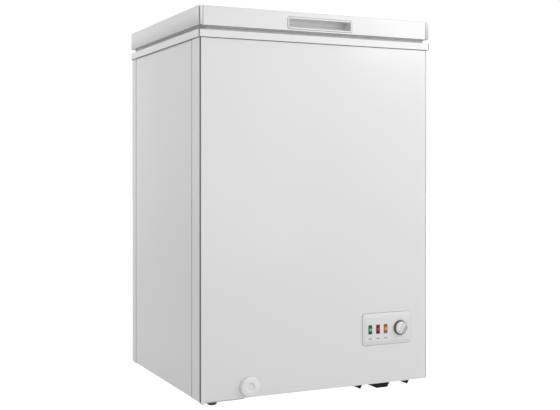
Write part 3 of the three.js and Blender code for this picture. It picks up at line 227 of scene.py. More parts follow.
def lens(name, color, glow, centre):
    """A tinted indicator lens, brighter where its lamp sits behind it and darker at its ends."""
    s = Shader(name, color, 0.2, coat=0.15, specular=0.3)
    away = s.node("ShaderNodeVectorMath")
    away.operation = "DISTANCE"
    away.inputs[1].default_value = centre
    s.link(s.place, away.inputs[0])
    distance = away.outputs["Value"]
    s.tint(distance, 0.55, tuple(c * 0.55 for c in color), 5.0 * MM, 9.0 * MM)
    s.tint(distance, 1.0, glow, 4.6 * MM, 1.0 * MM)
    s.bump(s.noise(2500, 1.0), 0.03, 0.4)
    return s.polish(s.noise(400, 3.0), 0.1, 0.22).material


LOOKS = {
    "cabinet_paint": enamel("cabinet_paint", (0.80, 0.80, 0.80)),
    "lid_paint": enamel("lid_paint", (0.83, 0.83, 0.83)),
    "white_plastic": moulded("white_plastic", (0.84, 0.84, 0.84)),
    "liner": stucco_liner("liner"),
    "galvanised_sheet": galvanised("galvanised_sheet"),
    "zinc_steel": plated("zinc_steel"),
    "foam": foam("foam"),
    "copper": copper("copper"),
    "grey_plastic": moulded("grey_plastic", (0.42, 0.43, 0.43), 0.45),
    "control_plate": moulded("control_plate", (0.77, 0.785, 0.79), 0.4, 0.05),
    # the grey of this plastic is painted shade for the knob's shaded side
    "knob_plastic": moulded("knob_plastic", (0.50, 0.50, 0.50), 0.35, 0.01),
    "black_enamel": black_enamel("black_enamel"),
    "black_plastic": moulded("black_plastic", (0.02, 0.02, 0.02), 0.45, 0.05),
    "black_rubber": rubber("black_rubber", (0.007, 0.007, 0.007)),
    "grey_rubber": rubber("grey_rubber", (0.10, 0.10, 0.10), 0.42),
    "gasket_rubber": rubber("gasket_rubber", (0.43, 0.43, 0.425), 0.55),
    "coated_wire": moulded("coated_wire", (0.80, 0.80, 0.80), 0.35, 0.02, 0.2),
    # painted shade: the dark colour of the lines along the side panels' pressed steps
    "painted_crease_shade": rubber("painted_crease_shade", (0.15, 0.15, 0.15), 0.5),
    "mark_ink": moulded("mark_ink", (0.16, 0.16, 0.165), 0.5, 0.01),
    "dark_plastic": moulded("dark_plastic", (0.07, 0.07, 0.072), 0.4, 0.03),
    "drain_plastic": moulded("drain_plastic", (0.86, 0.86, 0.86), 0.35, 0.02),
}
SLOT_OF = {part["node"]: part["material_slot"] for part in frame["record"]["subparts"]}


# ---------------------------------------------------------------- mesh tools
def paint(obj, material):
    """Gives an object one material and smooth shading."""
    obj.data.materials.clear()
    obj.data.materials.append(material)
    for polygon in obj.data.polygons:
        polygon.use_smooth = True


def finish_piece(obj, look, body, nodes=(), smooth=40):
    """Gives a new piece its look, body, and the CAD nodes it stands for; smooth is in degrees."""
    paint(obj, look if isinstance(look, bpy.types.Material) else LOOKS[look])
    obj.data.set_sharp_from_angle(angle=math.radians(smooth))
    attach(obj, body)
    if nodes:
        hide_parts(*nodes)


def soften(obj, width):
    """Rounds the sharp edges a little, so that they catch the light."""
    bevel = obj.modifiers.new("edges", "BEVEL")
    bevel.width = width
    bevel.segments = 2
    bevel.limit_method = "ANGLE"
    bevel.angle_limit = math.radians(35)
    bevel.harden_normals = True


def thicken(obj, wall):
    """Gives a surface its wall, inwards from the outer face."""
    shell = obj.modifiers.new("wall", "SOLIDIFY")
    shell.thickness = wall
    shell.offset = -1


def from_bmesh(name, bm):
    bmesh.ops.recalc_face_normals(bm, faces=bm.faces)
    mesh = bpy.data.meshes.new(name)
    bm.to_mesh(mesh)
    bm.free()
    obj = bpy.data.objects.new(name, mesh)
    bpy.context.scene.collection.objects.link(obj)
    return obj


def bridge(bm, a, b):
    """Joins two rings of equally many vertices with four-sided faces."""
    for i in range(len(a)):
        j = (i + 1) % len(a)
        bm.faces.new((a[i], a[j], b[j], b[i]))


def skin(name, loops, closed=False, caps=(True, True)):
    """A surface through loops of equally many points, capped or joined end to end."""
    bm = bmesh.new()
    rings = [[bm.verts.new(p) for p in loop] for loop in loops]
    pairs = list(zip(rings, rings[1:]))
    if closed:
        pairs.append((rings[-1], rings[0]))
    for a, b in pairs:
        bridge(bm, a, b)
    if not closed and caps[0]:
        bm.faces.new(rings[0])
    if not closed and caps[1]:
        bm.faces.new(rings[-1])
    return from_bmesh(name, bm)


def rounded_loop(u0, u1, v0, v1, radius, place, steps=6):
    """Points round a rectangle with round corners; place turns (u, v) into a point."""
    points = []
    for cu, cv, start in (
        (u1 - radius, v1 - radius, 0),
        (u0 + radius, v1 - radius, 90),
        (u0 + radius, v0 + radius, 180),
        (u1 - radius, v0 + radius, 270),
    ):
        for i in range(steps + 1):
            angle = math.radians(start + 90 * i / steps)
            points.append(place(cu + radius * math.cos(angle), cv + radius * math.sin(angle)))
    return points


def on_front(y):
    """Places (u, v) in an upright plane that faces the front."""
    return lambda u, v: Vector((u, y, v))


def on_floor(z):
    """Places (u, v) in a level plane."""
    return lambda u, v: Vector((u, v, z))


BEND_STEPS = 6  # straight stretches in the bend of a wire
# turns that lay the height of a turned piece along the axis named; along y it grows to the front
AXES = {
    "z": Matrix.Identity(3),
    "y": Matrix(((1, 0, 0), (0, 0, -1), (0, 1, 0))),
}
ON_AXIS = 1e-7  # a point of a profile nearer to the axis than this is a single vertex


def lathe(name, profile, centre, axis="z", sides=64):
    """A turned piece from (radius, height) pairs about an axis, in metres."""
    turn = AXES[axis]
    bm = bmesh.new()
    rings = []
    for radius, height in profile:
        if radius < ON_AXIS:
            rings.append([bm.verts.new(centre + turn @ Vector((0, 0, height)))])
            continue
        ring = []
        for i in range(sides):
            angle = 2 * math.pi * i / sides
            place = Vector((radius * math.cos(angle), radius * math.sin(angle), height))
            ring.append(bm.verts.new(centre + turn @ place))
        rings.append(ring)
    pairs = list(zip(rings, rings[1:]))
    if len(rings[0]) > 1 and len(rings[-1]) > 1:
        pairs.append((rings[-1], rings[0]))
    for a, b in pairs:
        for i in range(sides):
            j = (i + 1) % sides
            corners = [a[i % len(a)], a[j % len(a)], b[j % len(b)], b[i % len(b)]]
            unique = list(dict.fromkeys(corners))
            if len(unique) > 2:
                bm.faces.new(unique)
    return from_bmesh(name, bm)


def turn_at(before, here, after, reach, steps):
    """Points of a smooth turn at a corner, which starts and ends at reach from it."""
    start = here + (before - here).normalized() * reach
    end = here + (after - here).normalized() * reach
    turn = []
    for i in range(steps + 1):
        t = i / steps
        turn.append(start * (1 - t) ** 2 + here * 2 * t * (1 - t) + end * t**2)
    return turn


def round_corners(corners, radius, share, steps):
    """Rounds the inner corners of an open line, with at most a share of a side in each turn."""
    points = [Vector(c) for c in corners]
    line = [points[0]]
    for before, here, after in zip(points, points[1:], points[2:]):
        shorter = min((before - here).length, (after - here).length)
        line += turn_at(before, here, after, min(radius, shorter * share), steps)
    line.append(points[-1])
    return line


def fillet(profile, radius):
    """Rounds the inner corners of a (radius, height) profile."""
    return [(max(p.x, 0.0), p.y) for p in round_corners(profile, radius, 0.45, 4)]


def bent(corners, radius):
    """The line of a wire bent at its corners."""
    return round_corners(corners, radius, 0.48, BEND_STEPS)


def sweep(bm, path, radius, sides, closed):
    """Adds a round tube along a path to bm, with flat ends."""
    count = len(path)
    rings = []
    side = None
    for i, point in enumerate(path):
        ahead = path[(i + 1) % count] if closed or i + 1 < count else point
        behind = path[i - 1] if closed or i else point
        along = (ahead - behind).normalized()
        if side is None:
            side = along.orthogonal().normalized()
        side = (side - along * side.dot(along)).normalized()
        up = along.cross(side)
        ring = []
        for k in range(sides):
            angle = 2 * math.pi * k / sides
            offset = side * math.cos(angle) + up * math.sin(angle)
            ring.append(bm.verts.new(point + offset * radius))
        rings.append(ring)
    pairs = list(zip(rings, rings[1:]))
    if closed:
        pairs.append((rings[-1], rings[0]))
    for a, b in pairs:
        bridge(bm, a, b)
    if not closed:
        bm.faces.new(rings[0])
        bm.faces.new(rings[-1])


def tubes(name, paths, radius, sides=10, closed=()):
    """Round wires along paths; closed holds the numbers of the paths that end where they start."""
    bm = bmesh.new()
    for i, path in enumerate(paths):
        sweep(bm, path, radius, sides, closed=i in closed)
    return from_bmesh(name, bm)


def box_between(low, high):
    """A bmesh box between two corners."""
    bm = bmesh.new()
    bmesh.ops.create_cube(bm, size=1)
    size, middle = high - low, (high + low) / 2
    for vert in bm.verts:
        vert.co = Vector([vert.co[i] * size[i] + middle[i] for i in range(3)])
    return bm


def rounded_box(name, low, high, radius, segments=3):
    """A box between two corners with round edges."""
    bm = box_between(low, high)
    bmesh.ops.bevel(
        bm, geom=bm.edges[:], offset=radius, segments=segments, profile=0.5, affect="EDGES"
    )
    return from_bmesh(name, bm)


# ---------------------------------------------------------------- carried-over CAD nodes
def dress_frame():
    """Gives each CAD node its material and slightly softened edges."""
    for name, obj in NODES.items():
        paint(obj, LOOKS.get(SLOT_OF[name], LOOKS["white_plastic"]))
        if name not in ("cabinet_foam", "lid_foam"):
            soften(obj, EDGE_SOFTNESS)


# ---------------------------------------------------------------- lid
LID_CROWN = 5 * MM  # radius of the lid's upper edges
FASCIA_WRAP = 14 * MM  # how far the strip at the front reaches back over the lid
FASCIA_GAP = 0.9 * MM
HANDLE_DROP = 25.4 * MM  # from the lid's top down to the middle of the handle
HANDLE_WIDTH, HANDLE_HEIGHT, HANDLE_RIM = 160 * MM, 26 * MM, 3.5 * MM


def lid_cover():
    """The sheet steel cover: a box with round upper edges, cut out for the fascia strip."""
    low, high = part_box("lid_shell")
    fascia_low, fascia_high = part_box("lid_fascia")
    middle = (high + low) / 2
    bm = box_between(low, high)
    upper = [e for e in bm.edges if any(v.co.z > middle.z for v in e.verts)]
    bmesh.ops.bevel(bm, geom=upper, offset=LID_CROWN, segments=5, profile=0.5, affect="EDGES")
    floor = [f for f in bm.faces if f.normal.z < -0.9]
    bmesh.ops.delete(bm, geom=floor, context="FACES")
    left, right = fascia_low.x - FASCIA_GAP, fascia_high.x + FASCIA_GAP
    back = low.y + FASCIA_WRAP + FASCIA_GAP
    for point, normal in (
        (Vector((left, 0, 0)), Vector((1, 0, 0))),
        (Vector((right, 0, 0)), Vector((1, 0, 0))),
        (Vector((0, back, 0)), Vector((0, 1, 0))),
    ):
        geometry = bm.verts[:] + bm.edges[:] + bm.faces[:]
        bmesh.ops.bisect_plane(bm, geom=geometry, plane_co=point, plane_no=normal)
    inside = []
    for face in bm.faces:
        spot = face.calc_center_median()
        if left < spot.x < right and spot.y < back:
            inside.append(face)
    bmesh.ops.delete(bm, geom=inside, context="FACES")
    obj = from_bmesh("lid_cover", bm)
    thicken(obj, 1.2 * MM)
    finish_piece(obj, "lid_paint", "lid", ["lid_shell"])


def fascia_strip():
    """The strip along the lid's front: skinned loops from its back edge into the pocket."""
    low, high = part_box("lid_fascia")
    shell_low, shell_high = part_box("lid_shell")
    front, proud = shell_low.y, low.y
    top, bottom = shell_high.z, shell_low.z
    middle = top - HANDLE_DROP
    half_w, half_h = HANDLE_WIDTH / 2, HANDLE_HEIGHT / 2
    mouth_w, mouth_h = half_w - HANDLE_RIM, half_h - HANDLE_RIM

    def strip(drop, y):
        return rounded_loop(low.x, high.x, bottom, top - drop, 0.4 * MM, on_front(y), 8)

    def pocket(w, below, above, radius, y):
        return rounded_loop(-w, w, middle - below, middle + above, radius, on_front(y), 8)

    def rim(inset_mm, radius_mm, y):
        h = half_h - inset_mm * MM
        return pocket(half_w - inset_mm * MM, h, h, radius_mm * MM, y)

    def inside(inset_mm, below_mm, above_mm, radius_mm, y):
        below, above = mouth_h + below_mm * MM, mouth_h + above_mm * MM
        return pocket(mouth_w - inset_mm * MM, below, above, radius_mm * MM, y)

    loops = [strip(0, front + FASCIA_WRAP), strip(0, front + LID_CROWN)]
    for i in range(1, 7):
        angle = math.radians(15 * i)
        drop, depth = LID_CROWN * (1 - math.cos(angle)), LID_CROWN * (1 - math.sin(angle))
        loops.append(strip(drop, front + depth))
    loops += [
        rim(0, 4.6, front),
        rim(0.2, 4.4, proud + 0.4 * MM),
        rim(0.7, 4.0, proud),
        inside(-0.7, 0.7, 0.7, 3.0, proud),
        inside(-0.1, 0.1, 0.1, 2.4, proud + 0.7 * MM),
        inside(0, 0, 0, 2.4, front + 2 * MM),
        inside(0.5, -11, 3.6, 1.2, high.y - 3 * MM),
        inside(2, -12, 2.4, 1.0, high.y - 1.6 * MM),
    ]
    obj = skin("fascia_strip", loops, caps=(False, True))
    thicken(obj, 1.3 * MM)
    finish_piece(obj, "white_plastic", "lid", ["lid_fascia"], smooth=32)
    # a dark line round the rim, where it stands on the strip: painted shadow of the raised rim
    sunk, raised = front + 0.3 * MM, front - 0.15 * MM
    line = [rim(2, 3, sunk), rim(-0.7, 5.2, sunk), rim(-0.7, 5.2, raised), rim(0.2, 4.4, raised)]
    finish_piece(skin("handle_rim_shadow", line, closed=True), "grey_rubber", "lid")


def door_seal():
    """The bellows seal, drawn as closed loops round the lid."""
    low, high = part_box("lid_gasket")
    tall = high.z - low.z
    corner = 20 * MM
    # pairs of the millimetres in from the outer edge and the share of the height
    section = [
        (0.0, 0.0), (0.0, 0.35), (2.2, 0.45), (2.2, 0.62), (0.2, 0.72), (0.2, 1.0),
        (14.5, 1.0), (15.8, 0.8), (13.6, 0.6), (13.6, 0.45), (16.0, 0.3), (16.0, 0.0),
    ]
    loops = []
    for inset_mm, share in section:
        g = inset_mm * MM
        loops.append(
            rounded_loop(
                low.x + g,
                high.x - g,
                low.y + g,
                high.y - g,
                max(corner - g, 2 * MM),
                on_floor(low.z + share * tall),
                8,
            )
        )
    seal = skin("door_seal", loops, closed=True)
    finish_piece(seal, "gasket_rubber", "lid", ["lid_gasket"], smooth=60)


def seam_shade_strips():
    """Dark strips at the bottoms of the narrow joints between painted pieces: painted shade in the
    gaps.
    """
    panel_low, panel_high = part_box("front_panel")
    side_low, side_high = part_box("left_side_panel")
    _, right_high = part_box("right_side_panel")
    _, back_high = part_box("back_panel")
    z0, z1 = side_low.z + 0.3 * MM, side_high.z - 0.5 * MM
    y0, y1 = panel_low.y + 0.9 * MM, panel_low.y + 2.4 * MM
    cover, margin = 0.7 * MM, 0.15 * MM
    # the strips in the front corner notches are painted shade
    for name, x0, x1 in (
        ("left_corner_shade_strip", side_low.x + cover, panel_low.x - margin),
        ("right_corner_shade_strip", panel_high.x + margin, right_high.x - cover),
    ):
        strip = rounded_box(name, Vector((x0, y0, z0)), Vector((x1, y1, z1)), 0.3 * MM, 2)
        finish_piece(strip, "grey_rubber", "cabinet")
    # the dark loop under the collar's lower edge is painted shadow
    collar_low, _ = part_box("top_collar")
    inner, outer = -0.1 * MM, 1.0 * MM
    lower, upper = collar_low.z - 1.3 * MM, collar_low.z - 0.1 * MM
    loops = []
    for offset, z in ((inner, lower), (outer, lower), (outer, upper), (inner, upper)):
        loops.append(
            rounded_loop(
                side_low.x - offset,
                right_high.x + offset,
                panel_low.y - offset,
                back_high.y + 0.2 * MM,
                0.5 * MM,
                on_floor(z),
                3,
            )
        )
    strip = skin("collar_edge_shadow_strip", loops, closed=True)
    finish_piece(strip, "grey_rubber", "cabinet")


def crease_shade_lines():
    """Fine dark lines of painted shade where the side panels are pressed in, and in the joints at
    the collar's front mitres.
    """
    width, proud, buried = 2.2 * MM, 0.12 * MM, 0.5 * MM
    front_margin, back_margin = 50 * MM, 33 * MM
    panel_low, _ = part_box("front_panel")
    for side, direction in (("left", -1), ("right", 1)):
        low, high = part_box(side + "_side_panel")
        outer = low.x if direction < 0 else high.x
        x0, x1 = sorted((outer + direction * proud, outer - direction * buried))
        front, back = panel_low.y + front_margin - width, high.y - back_margin
        for place, start in (("front", front), ("back", back)):
            # a dark strip of painted shade along each pressed step
            line = rounded_box(
                f"{side}_{place}_fold",
                Vector((x0, start, low.z + 0.4 * MM)),
                Vector((x1, start + width, high.z - 0.4 * MM)),
                0.1 * MM,
                2,
            )
            finish_piece(line, "painted_crease_shade", "cabinet")
    # dark strips of painted shade in the mitre joints at the collar's front corners
    low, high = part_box("top_collar")
    inset, half_width = 1.6 * MM, 0.95 * MM
    for side, x in (("left", low.x + inset), ("right", high.x - inset)):
        mitre = rounded_box(
            side + "_collar_mitre",
            Vector((x - half_width, low.y - proud, low.z + 0.3 * MM)),
            Vector((x + half_width, low.y + buried, high.z - 0.3 * MM)),
            0.1 * MM,
            2,
        )
        finish_piece(mitre, "grey_rubber", "cabinet")


def fascia_and_corner_shade():
    """Dark strips in the joints at both ends of the fascia, following the lid's rounded edge:
    painted shade in the gaps.
    """
    low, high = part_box("lid_fascia")
    shell_low, shell_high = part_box("lid_shell")
    inset, depth = 0.5 * MM, 12 * MM
    front, top, bottom = shell_low.y + inset, shell_high.z - inset, shell_low.z + inset
    section = [(front + depth, bottom), (front, bottom)]
    for i in range(7):
        angle = math.radians(15 * i)
        y = front + LID_CROWN * (1 - math.cos(angle))
        section.append((y, top - LID_CROWN * (1 - math.sin(angle))))
    section.append((front + depth, top))
    near, far = 0.05 * MM, 0.8 * MM
    # each strip is painted shade at the bottom of its joint
    for name, x0, x1 in (
        ("left_fascia_joint_shade", low.x - far, low.x - near),
        ("right_fascia_joint_shade", high.x + near, high.x + far),
    ):
        loops = [[Vector((x, y, z)) for y, z in section] for x in (x0, x1)]
        finish_piece(skin(name, loops), "grey_rubber", "lid")
    # a fine dark line of painted shade down each front corner of the lid, where its rounded corner
    # turns from the light
    wire, shade_line = 0.85 * MM, 2.6 * MM
    y = shell_low.y + 0.96 * MM
    for name, x in (
        ("left_lid_fold", shell_low.x + shade_line),
        ("right_lid_fold", shell_high.x - shade_line),
    ):
        line = [Vector((x, y, shell_low.z + 0.9 * MM)), Vector((x, y, shell_high.z - LID_CROWN))]
        finish_piece(tubes(name, [line], wire, 12), "grey_rubber", "lid")


# ---------------------------------------------------------------- controls
def control_plate():
    """The bevelled plate, with a dark line of painted shadow where it meets the front panel."""
    low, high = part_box("control_housing")
    face = low.y
    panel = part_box("front_panel")[0].y
    behind = panel - 0.3 * MM
    bevel = 9 * MM
    corner = 8 * MM
    box_inset = 6 * MM

    def loop(g, r, y):
        return rounded_loop(
            low.x + g, high.x - g, low.z + g, high.z - g, r, on_front(y), 8
        )

    loops = [
        loop(box_inset, 4 * MM, high.y),
        loop(box_inset, 4 * MM, behind),
        loop(0.3 * MM, corner, behind),
        loop(0, corner, behind - 0.5 * MM),
        loop(0.5 * MM, corner, behind - 1.0 * MM),
        loop(bevel - 1.5 * MM, 3.5 * MM, face + 0.35 * MM),
        loop(bevel, 3 * MM, face),
    ]
    plate = skin("control_plate", loops)
    finish_piece(plate, "control_plate", "cabinet", ["control_housing"], smooth=14)
    # the dark loop just beyond the plate's edge is painted shadow of the raised plate
    sunk, raised = panel - 0.1 * MM, panel - 0.28 * MM
    shadow_loops = [
        loop(4 * MM, 5 * MM, sunk),
        loop(-0.5 * MM, corner + 0.4 * MM, sunk),
        loop(-0.5 * MM, corner + 0.4 * MM, raised),
        loop(4 * MM, 5 * MM, raised),
    ]
    seal = skin("control_plate_shadow", shadow_loops, closed=True)
    finish_piece(seal, "grey_rubber", "cabinet")


# each lamp's material slot, the colour of its lens, and its colour where the lamp shines through
LAMPS = {
    "power_lamp": ("green_lens", (0.002, 0.14, 0.05), (0.16, 0.75, 0.42)),
    "alarm_lamp": ("red_lens", (0.19, 0.0008, 0.004), (0.65, 0.05, 0.09)),
    "fast_freeze_lamp": ("orange_lens", (0.46, 0.115, 0.006), (1.0, 0.45, 0.13)),
}


def lamps():
    """The three lenses, each in a fine dark surround and with a short plain bar under it."""
    plate_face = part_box("control_housing")[0].y
    for node, (slot, color, glow) in LAMPS.items():
        low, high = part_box(node)
        low = Vector((low.x + 2 * MM, low.y, low.z + 2 * MM))
        high = Vector((high.x - 2 * MM, plate_face + 1.5 * MM, high.z - 2 * MM))
        centre = Vector(((low.x + high.x) / 2, low.y, (low.z + high.z) / 2))
        cap = rounded_box(node + "_lens", low, high, 0.6 * MM)
        finish_piece(cap, lens(slot, color, glow, centre), "cabinet", [node])
        frame_low = Vector((low.x - 0.5 * MM, plate_face - 0.08 * MM, low.z - 0.5 * MM))
        frame_high = Vector((high.x + 0.5 * MM, plate_face + 0.6 * MM, high.z + 0.5 * MM))
        surround = rounded_box(node + "_surround", frame_low, frame_high, 0.2 * MM, 2)
        finish_piece(surround, "black_plastic", "cabinet")
        mark_low = Vector((low.x + 0.6 * MM, plate_face - 0.1 * MM, low.z - 12.0 * MM))
        mark_high = Vector((high.x - 0.6 * MM, plate_face + 0.5 * MM, low.z - 10.2 * MM))
        mark = rounded_box(node + "_mark", mark_low, mark_high, 0.24 * MM, 2)
        finish_piece(mark, "mark_ink", "cabinet")


GRIP_LEAN = math.radians(30)


def knob():
    """A dark skirt and grey cap under a white raised face, a grip and a line that lean right; the
    cap's grey and the line are painted shade for the knob's shaded side.
    """
    low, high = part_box("thermostat_knob")
    plate_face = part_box("control_housing")[0].y
    centre = Vector(((low.x + high.x) / 2, 0, (low.z + high.z) / 2))
    radius = (high.z - low.z) / 2
    base, front = -plate_face + 0.9 * MM, -low.y
    cap_radius = radius - 2.3 * MM
    skirt_profile = [
        (cap_radius - 2 * MM, base),
        (radius, base),
        (radius - 0.3 * MM, base + 2.6 * MM),
        (cap_radius + 0.2 * MM, base + 3.4 * MM),
        (cap_radius - 2 * MM, base + 3.0 * MM),
    ]
    skirt = lathe("knob_skirt", fillet(skirt_profile, 0.5 * MM), centre, "y", 72)
    finish_piece(skirt, "dark_plastic", "knob")
    top = base + 6.2 * MM
    cap_profile = [
        (0, base + 0.4 * MM),
        (cap_radius - 2.1 * MM, base + 0.4 * MM),
        (cap_radius - 2.1 * MM, base + 3.6 * MM),
        (cap_radius, base + 3.7 * MM),
        (cap_radius - 0.8 * MM, top - 0.4 * MM),
        (cap_radius - 3.5 * MM, top),
        (0, top + 0.2 * MM),
    ]
    cap = lathe("knob_cap", fillet(cap_profile, 0.8 * MM), centre, "y", 72)
    # the cap's grey shows beside the white face as painted shade
    finish_piece(cap, "knob_plastic", "knob", ["thermostat_knob"])
    turn = Matrix.Rotation(GRIP_LEAN, 4, "Y")

    # most of the face stands a little proud, cut off along a straight line beside the grip
    chord = 3.4 * MM
    loops = []
    for reach, inset in ((top - 1 * MM, 0), (top + 1.2 * MM, 0), (top + 1.7 * MM, 0.6)):
        r, edge = cap_radius - (1 + inset) * MM, chord - inset * MM
        start, steps = math.acos(edge / r), 36
        ring = []
        for i in range(steps + 1):
            angle = start + (2 * math.pi - 2 * start) * i / steps
            ring.append(turn @ Vector((r * math.cos(angle), -reach, r * math.sin(angle))) + centre)
        loops.append(ring)
    finish_piece(skin("knob_face", loops), "white_plastic", "knob", smooth=50)

    half_width, half_length = 2.6 * MM, cap_radius - 1.6 * MM
    loops = []
    for reach, inset in (
        (top - 3 * MM, 0),
        (front - 2.2 * MM, 0.3),
        (front - 0.5 * MM, 0.7),
        (front, 1.4),
    ):
        g = inset * MM
        ring = rounded_loop(
            g - half_width,
            half_width - g,
            g - half_length,
            half_length - g,
            (half_width - g) * 0.7,
            on_front(-reach),
        )
        loops.append([turn @ p + centre for p in ring])
    finish_piece(skin("knob_grip", loops), "white_plastic", "knob", smooth=50)
    # a dark line inlaid along one edge of the grip is painted shade on the grip's shaded side
    loops = []
    left, right, half_line = 3.2 * MM, 4.2 * MM, half_length - 3 * MM
    for reach in (top - 1 * MM, top + 0.5 * MM):
        ring = rounded_loop(left, right, -half_line, half_line, 0.4 * MM, on_front(-reach), 3)
        loops.append([turn @ p + centre for p in ring])
    finish_piece(skin("knob_grip_shade_line", loops), "mark_ink", "knob")


def pointer_mark():
    """The small raised triangle beside the knob that its setting is read against."""
    low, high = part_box("thermostat_knob")
    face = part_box("control_housing")[0].y
    tip = high.x + 0.9 * MM
    base, half = tip + 2.4 * MM, 2.2 * MM
    z = (low.z + high.z) / 2 - 2.5 * MM
    corners = [(tip, z), (base, z + half), (base, z - half)]
    loops = [[Vector((x, y, v)) for x, v in corners] for y in (face + 0.4 * MM, face - 0.12 * MM)]
    finish_piece(skin("pointer_mark", loops), "mark_ink", "cabinet")


# ---------------------------------------------------------------- drain
def drain_cap():
    """The dished dial on the front end of the drain spout."""
    low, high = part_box("drain_dial")
    centre = Vector(((low.x + high.x) / 2, 0, (low.z + high.z) / 2))
    radius = (high.z - low.z) / 2
    out = -low.y
    # pairs of radius and depth behind the front of the dial, in millimetres
    face = [
        (0, 0.6), (2.0, 1.0), (3.2, 3.0), (4.4, 3.9), (7.4, 3.9), (8.8, 1.0),
        (10.0, 0.0), (15.5, 0.5), (18.4, 1.2),
    ]
    profile = [(r * MM, out - depth * MM) for r, depth in face] + [
        (radius - 0.4 * MM, out - 2.6 * MM),
        (radius, out - 3.6 * MM),
        (radius, 5.6 * MM),
        (radius - 1.6 * MM, 5.6 * MM),
        (radius - 1.8 * MM, 6.4 * MM),
        (0, 6.4 * MM),
    ]
    cap = lathe("drain_cap", fillet(profile, 0.9 * MM), centre, "y", 96)
    finish_piece(cap, "drain_plastic", "dial", ["drain_dial"], smooth=50)
    # the ring behind the face is darker and set in a little: its grey is painted shade on the
    # dial's flank
    hollow, grip = radius - 4 * MM, radius - 0.9 * MM
    start, end = 0.5 * MM, 6.2 * MM
    ring_profile = [(hollow, start), (grip, start), (grip, end), (hollow, end)]
    ring = lathe("drain_flank_shade_ring", fillet(ring_profile, 0.3 * MM), centre, "y", 96)
    finish_piece(ring, "grey_plastic", "dial")


def drain_stopper():
    """The stopper over the outlet, with a stem to lift it by."""
    low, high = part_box("drain_plug")
    centre = Vector(((low.x + high.x) / 2, (low.y + high.y) / 2, 0))
    z = low.z
    profile = fillet(
        [
            (0, z), (14 * MM, z), (13 * MM, z + 2.7 * MM), (4 * MM, z + 3.7 * MM),
            (4.6 * MM, high.z), (0, high.z),
        ],
        0.8 * MM,
    )
    finish_piece(lathe("drain_stopper", profile, centre), "white_plastic", "plug", ["drain_plug"])


# ---------------------------------------------------------------- feet
def round_feet():
    """Domed pads, widest at the top, under the front and rear stems at the left."""
    for node, body in (("front_left_foot", "foot"), ("rear_left_foot", "cabinet")):
        low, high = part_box(node)
        centre = Vector(((low.x + high.x) / 2, (low.y + high.y) / 2, 0))
        radius = (high.y - low.y) / 2
        top = 9.8 * MM
        dome = [(0, low.z), (radius - 4.6 * MM, low.z), (radius - 1.6 * MM, 2.4 * MM)]
        dome += [(radius, 6.2 * MM), (radius - 0.4 * MM, top - 0.8 * MM), (radius - 2 * MM, top)]
        if node == "front_left_foot":
            socket = [(4.4 * MM, top), (4.4 * MM, 5 * MM), (0, 5 * MM)]
        else:
            socket = [(4 * MM, top), (4 * MM, high.z), (0, high.z)]
        foot = lathe(node + "_pad", fillet(dome + socket, 1.2 * MM), centre)
        finish_piece(foot, "grey_rubber", body, [node])


# ---------------------------------------------------------------- basket and springs
def wire_basket():
    """Bent wires: two hoops, cross wires both ways, and a hook bar at the front and back."""
    low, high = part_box("wire_basket")
    liner_low, liner_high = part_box("inner_liner")
    r = 1.75 * MM
    clearance, hook_rise, taper, pitch = 8 * MM, 11.8 * MM, 10 * MM, 44 * MM
    left, right = low.x + r, high.x - r
    front, back = liner_low.y + clearance + r, liner_high.y - clearance - r
    top = high.z - hook_rise
    bottom = low.z + r
    paths, closed = [], []

    def hoop(z, g, radius):
        corners = [
            Vector((right - g, front + g, z)), Vector((right - g, back - g, z)),
            Vector((left + g, back - g, z)), Vector((left + g, front + g, z)),
        ]
        ring = []
        for i, here in enumerate(corners):
            ring += turn_at(corners[i - 1], here, corners[(i + 1) % 4], radius, BEND_STEPS)
        closed.append(len(paths))
        paths.append(ring)

    hoop(top, 0, 14 * MM)
    hoop(bottom + 60 * MM, 7 * MM, 12 * MM)
    x = left + taper + 8 * MM
    while x < right - taper - 4 * MM:
        corners = [
            (x, front, top), (x, front + taper, bottom), (x, back - taper, bottom), (x, back, top),
        ]
        paths.append(bent(corners, 14 * MM))
        x += pitch
    runs = round((back - front) / pitch)
    for i in range(1, runs):
        y = front + (back - front) * i / runs
        corners = [
            (left, y, top), (left + taper, y, bottom), (right - taper, y, bottom), (right, y, top),
        ]
        paths.append(bent(corners, 14 * MM))
    hook, tail = high.z - r, top - 10 * MM
    x0, x1 = left + 22 * MM, right - 22 * MM
    for wall, tip in ((front, low.y + r), (back, high.y - r)):
        corners = [
            (x0, wall, tail), (x0, wall, hook), (x0, tip, hook),
            (x1, tip, hook), (x1, wall, hook), (x1, wall, tail),
        ]
        paths.append(bent(corners, 5 * MM))
    basket = tubes("hanging_basket", paths, r, 10, closed)
    finish_piece(basket, "coated_wire", "basket", ["wire_basket"], smooth=80)


def hinge_springs():
    """The coil spring in each hinge."""
    for side in ("left", "right"):
        low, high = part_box(side + "_hinge_spring")
        wire = 1.0 * MM
        radius = (high.x - low.x) / 2 - wire
        middle = Vector(((low.x + high.x) / 2, (low.y + high.y) / 2, 0))
        turns, per_turn = 10, 20
        z0, z1 = low.z + wire, high.z - wire
        path = []
        for i in range(turns * per_turn + 1):
            angle = 2 * math.pi * i / per_turn
            z = z0 + (z1 - z0) * i / (turns * per_turn)
            offset = Vector((radius * math.cos(angle), radius * math.sin(angle), z))
            path.append(middle + offset)
        spring = tubes(side + "_coil", [path], wire, 10)
        finish_piece(spring, "zinc_steel", "cabinet", [side + "_hinge_spring"], smooth=80)


# ---------------------------------------------------------------- stage, light and camera
# how brightly the sky and the floor light the object, and how brightly the camera sees them
SKY_LIGHT, SKY_SEEN = 0.595, 1.05
FLOOR_LIGHT, FLOOR_SEEN = 0.29, 1.1


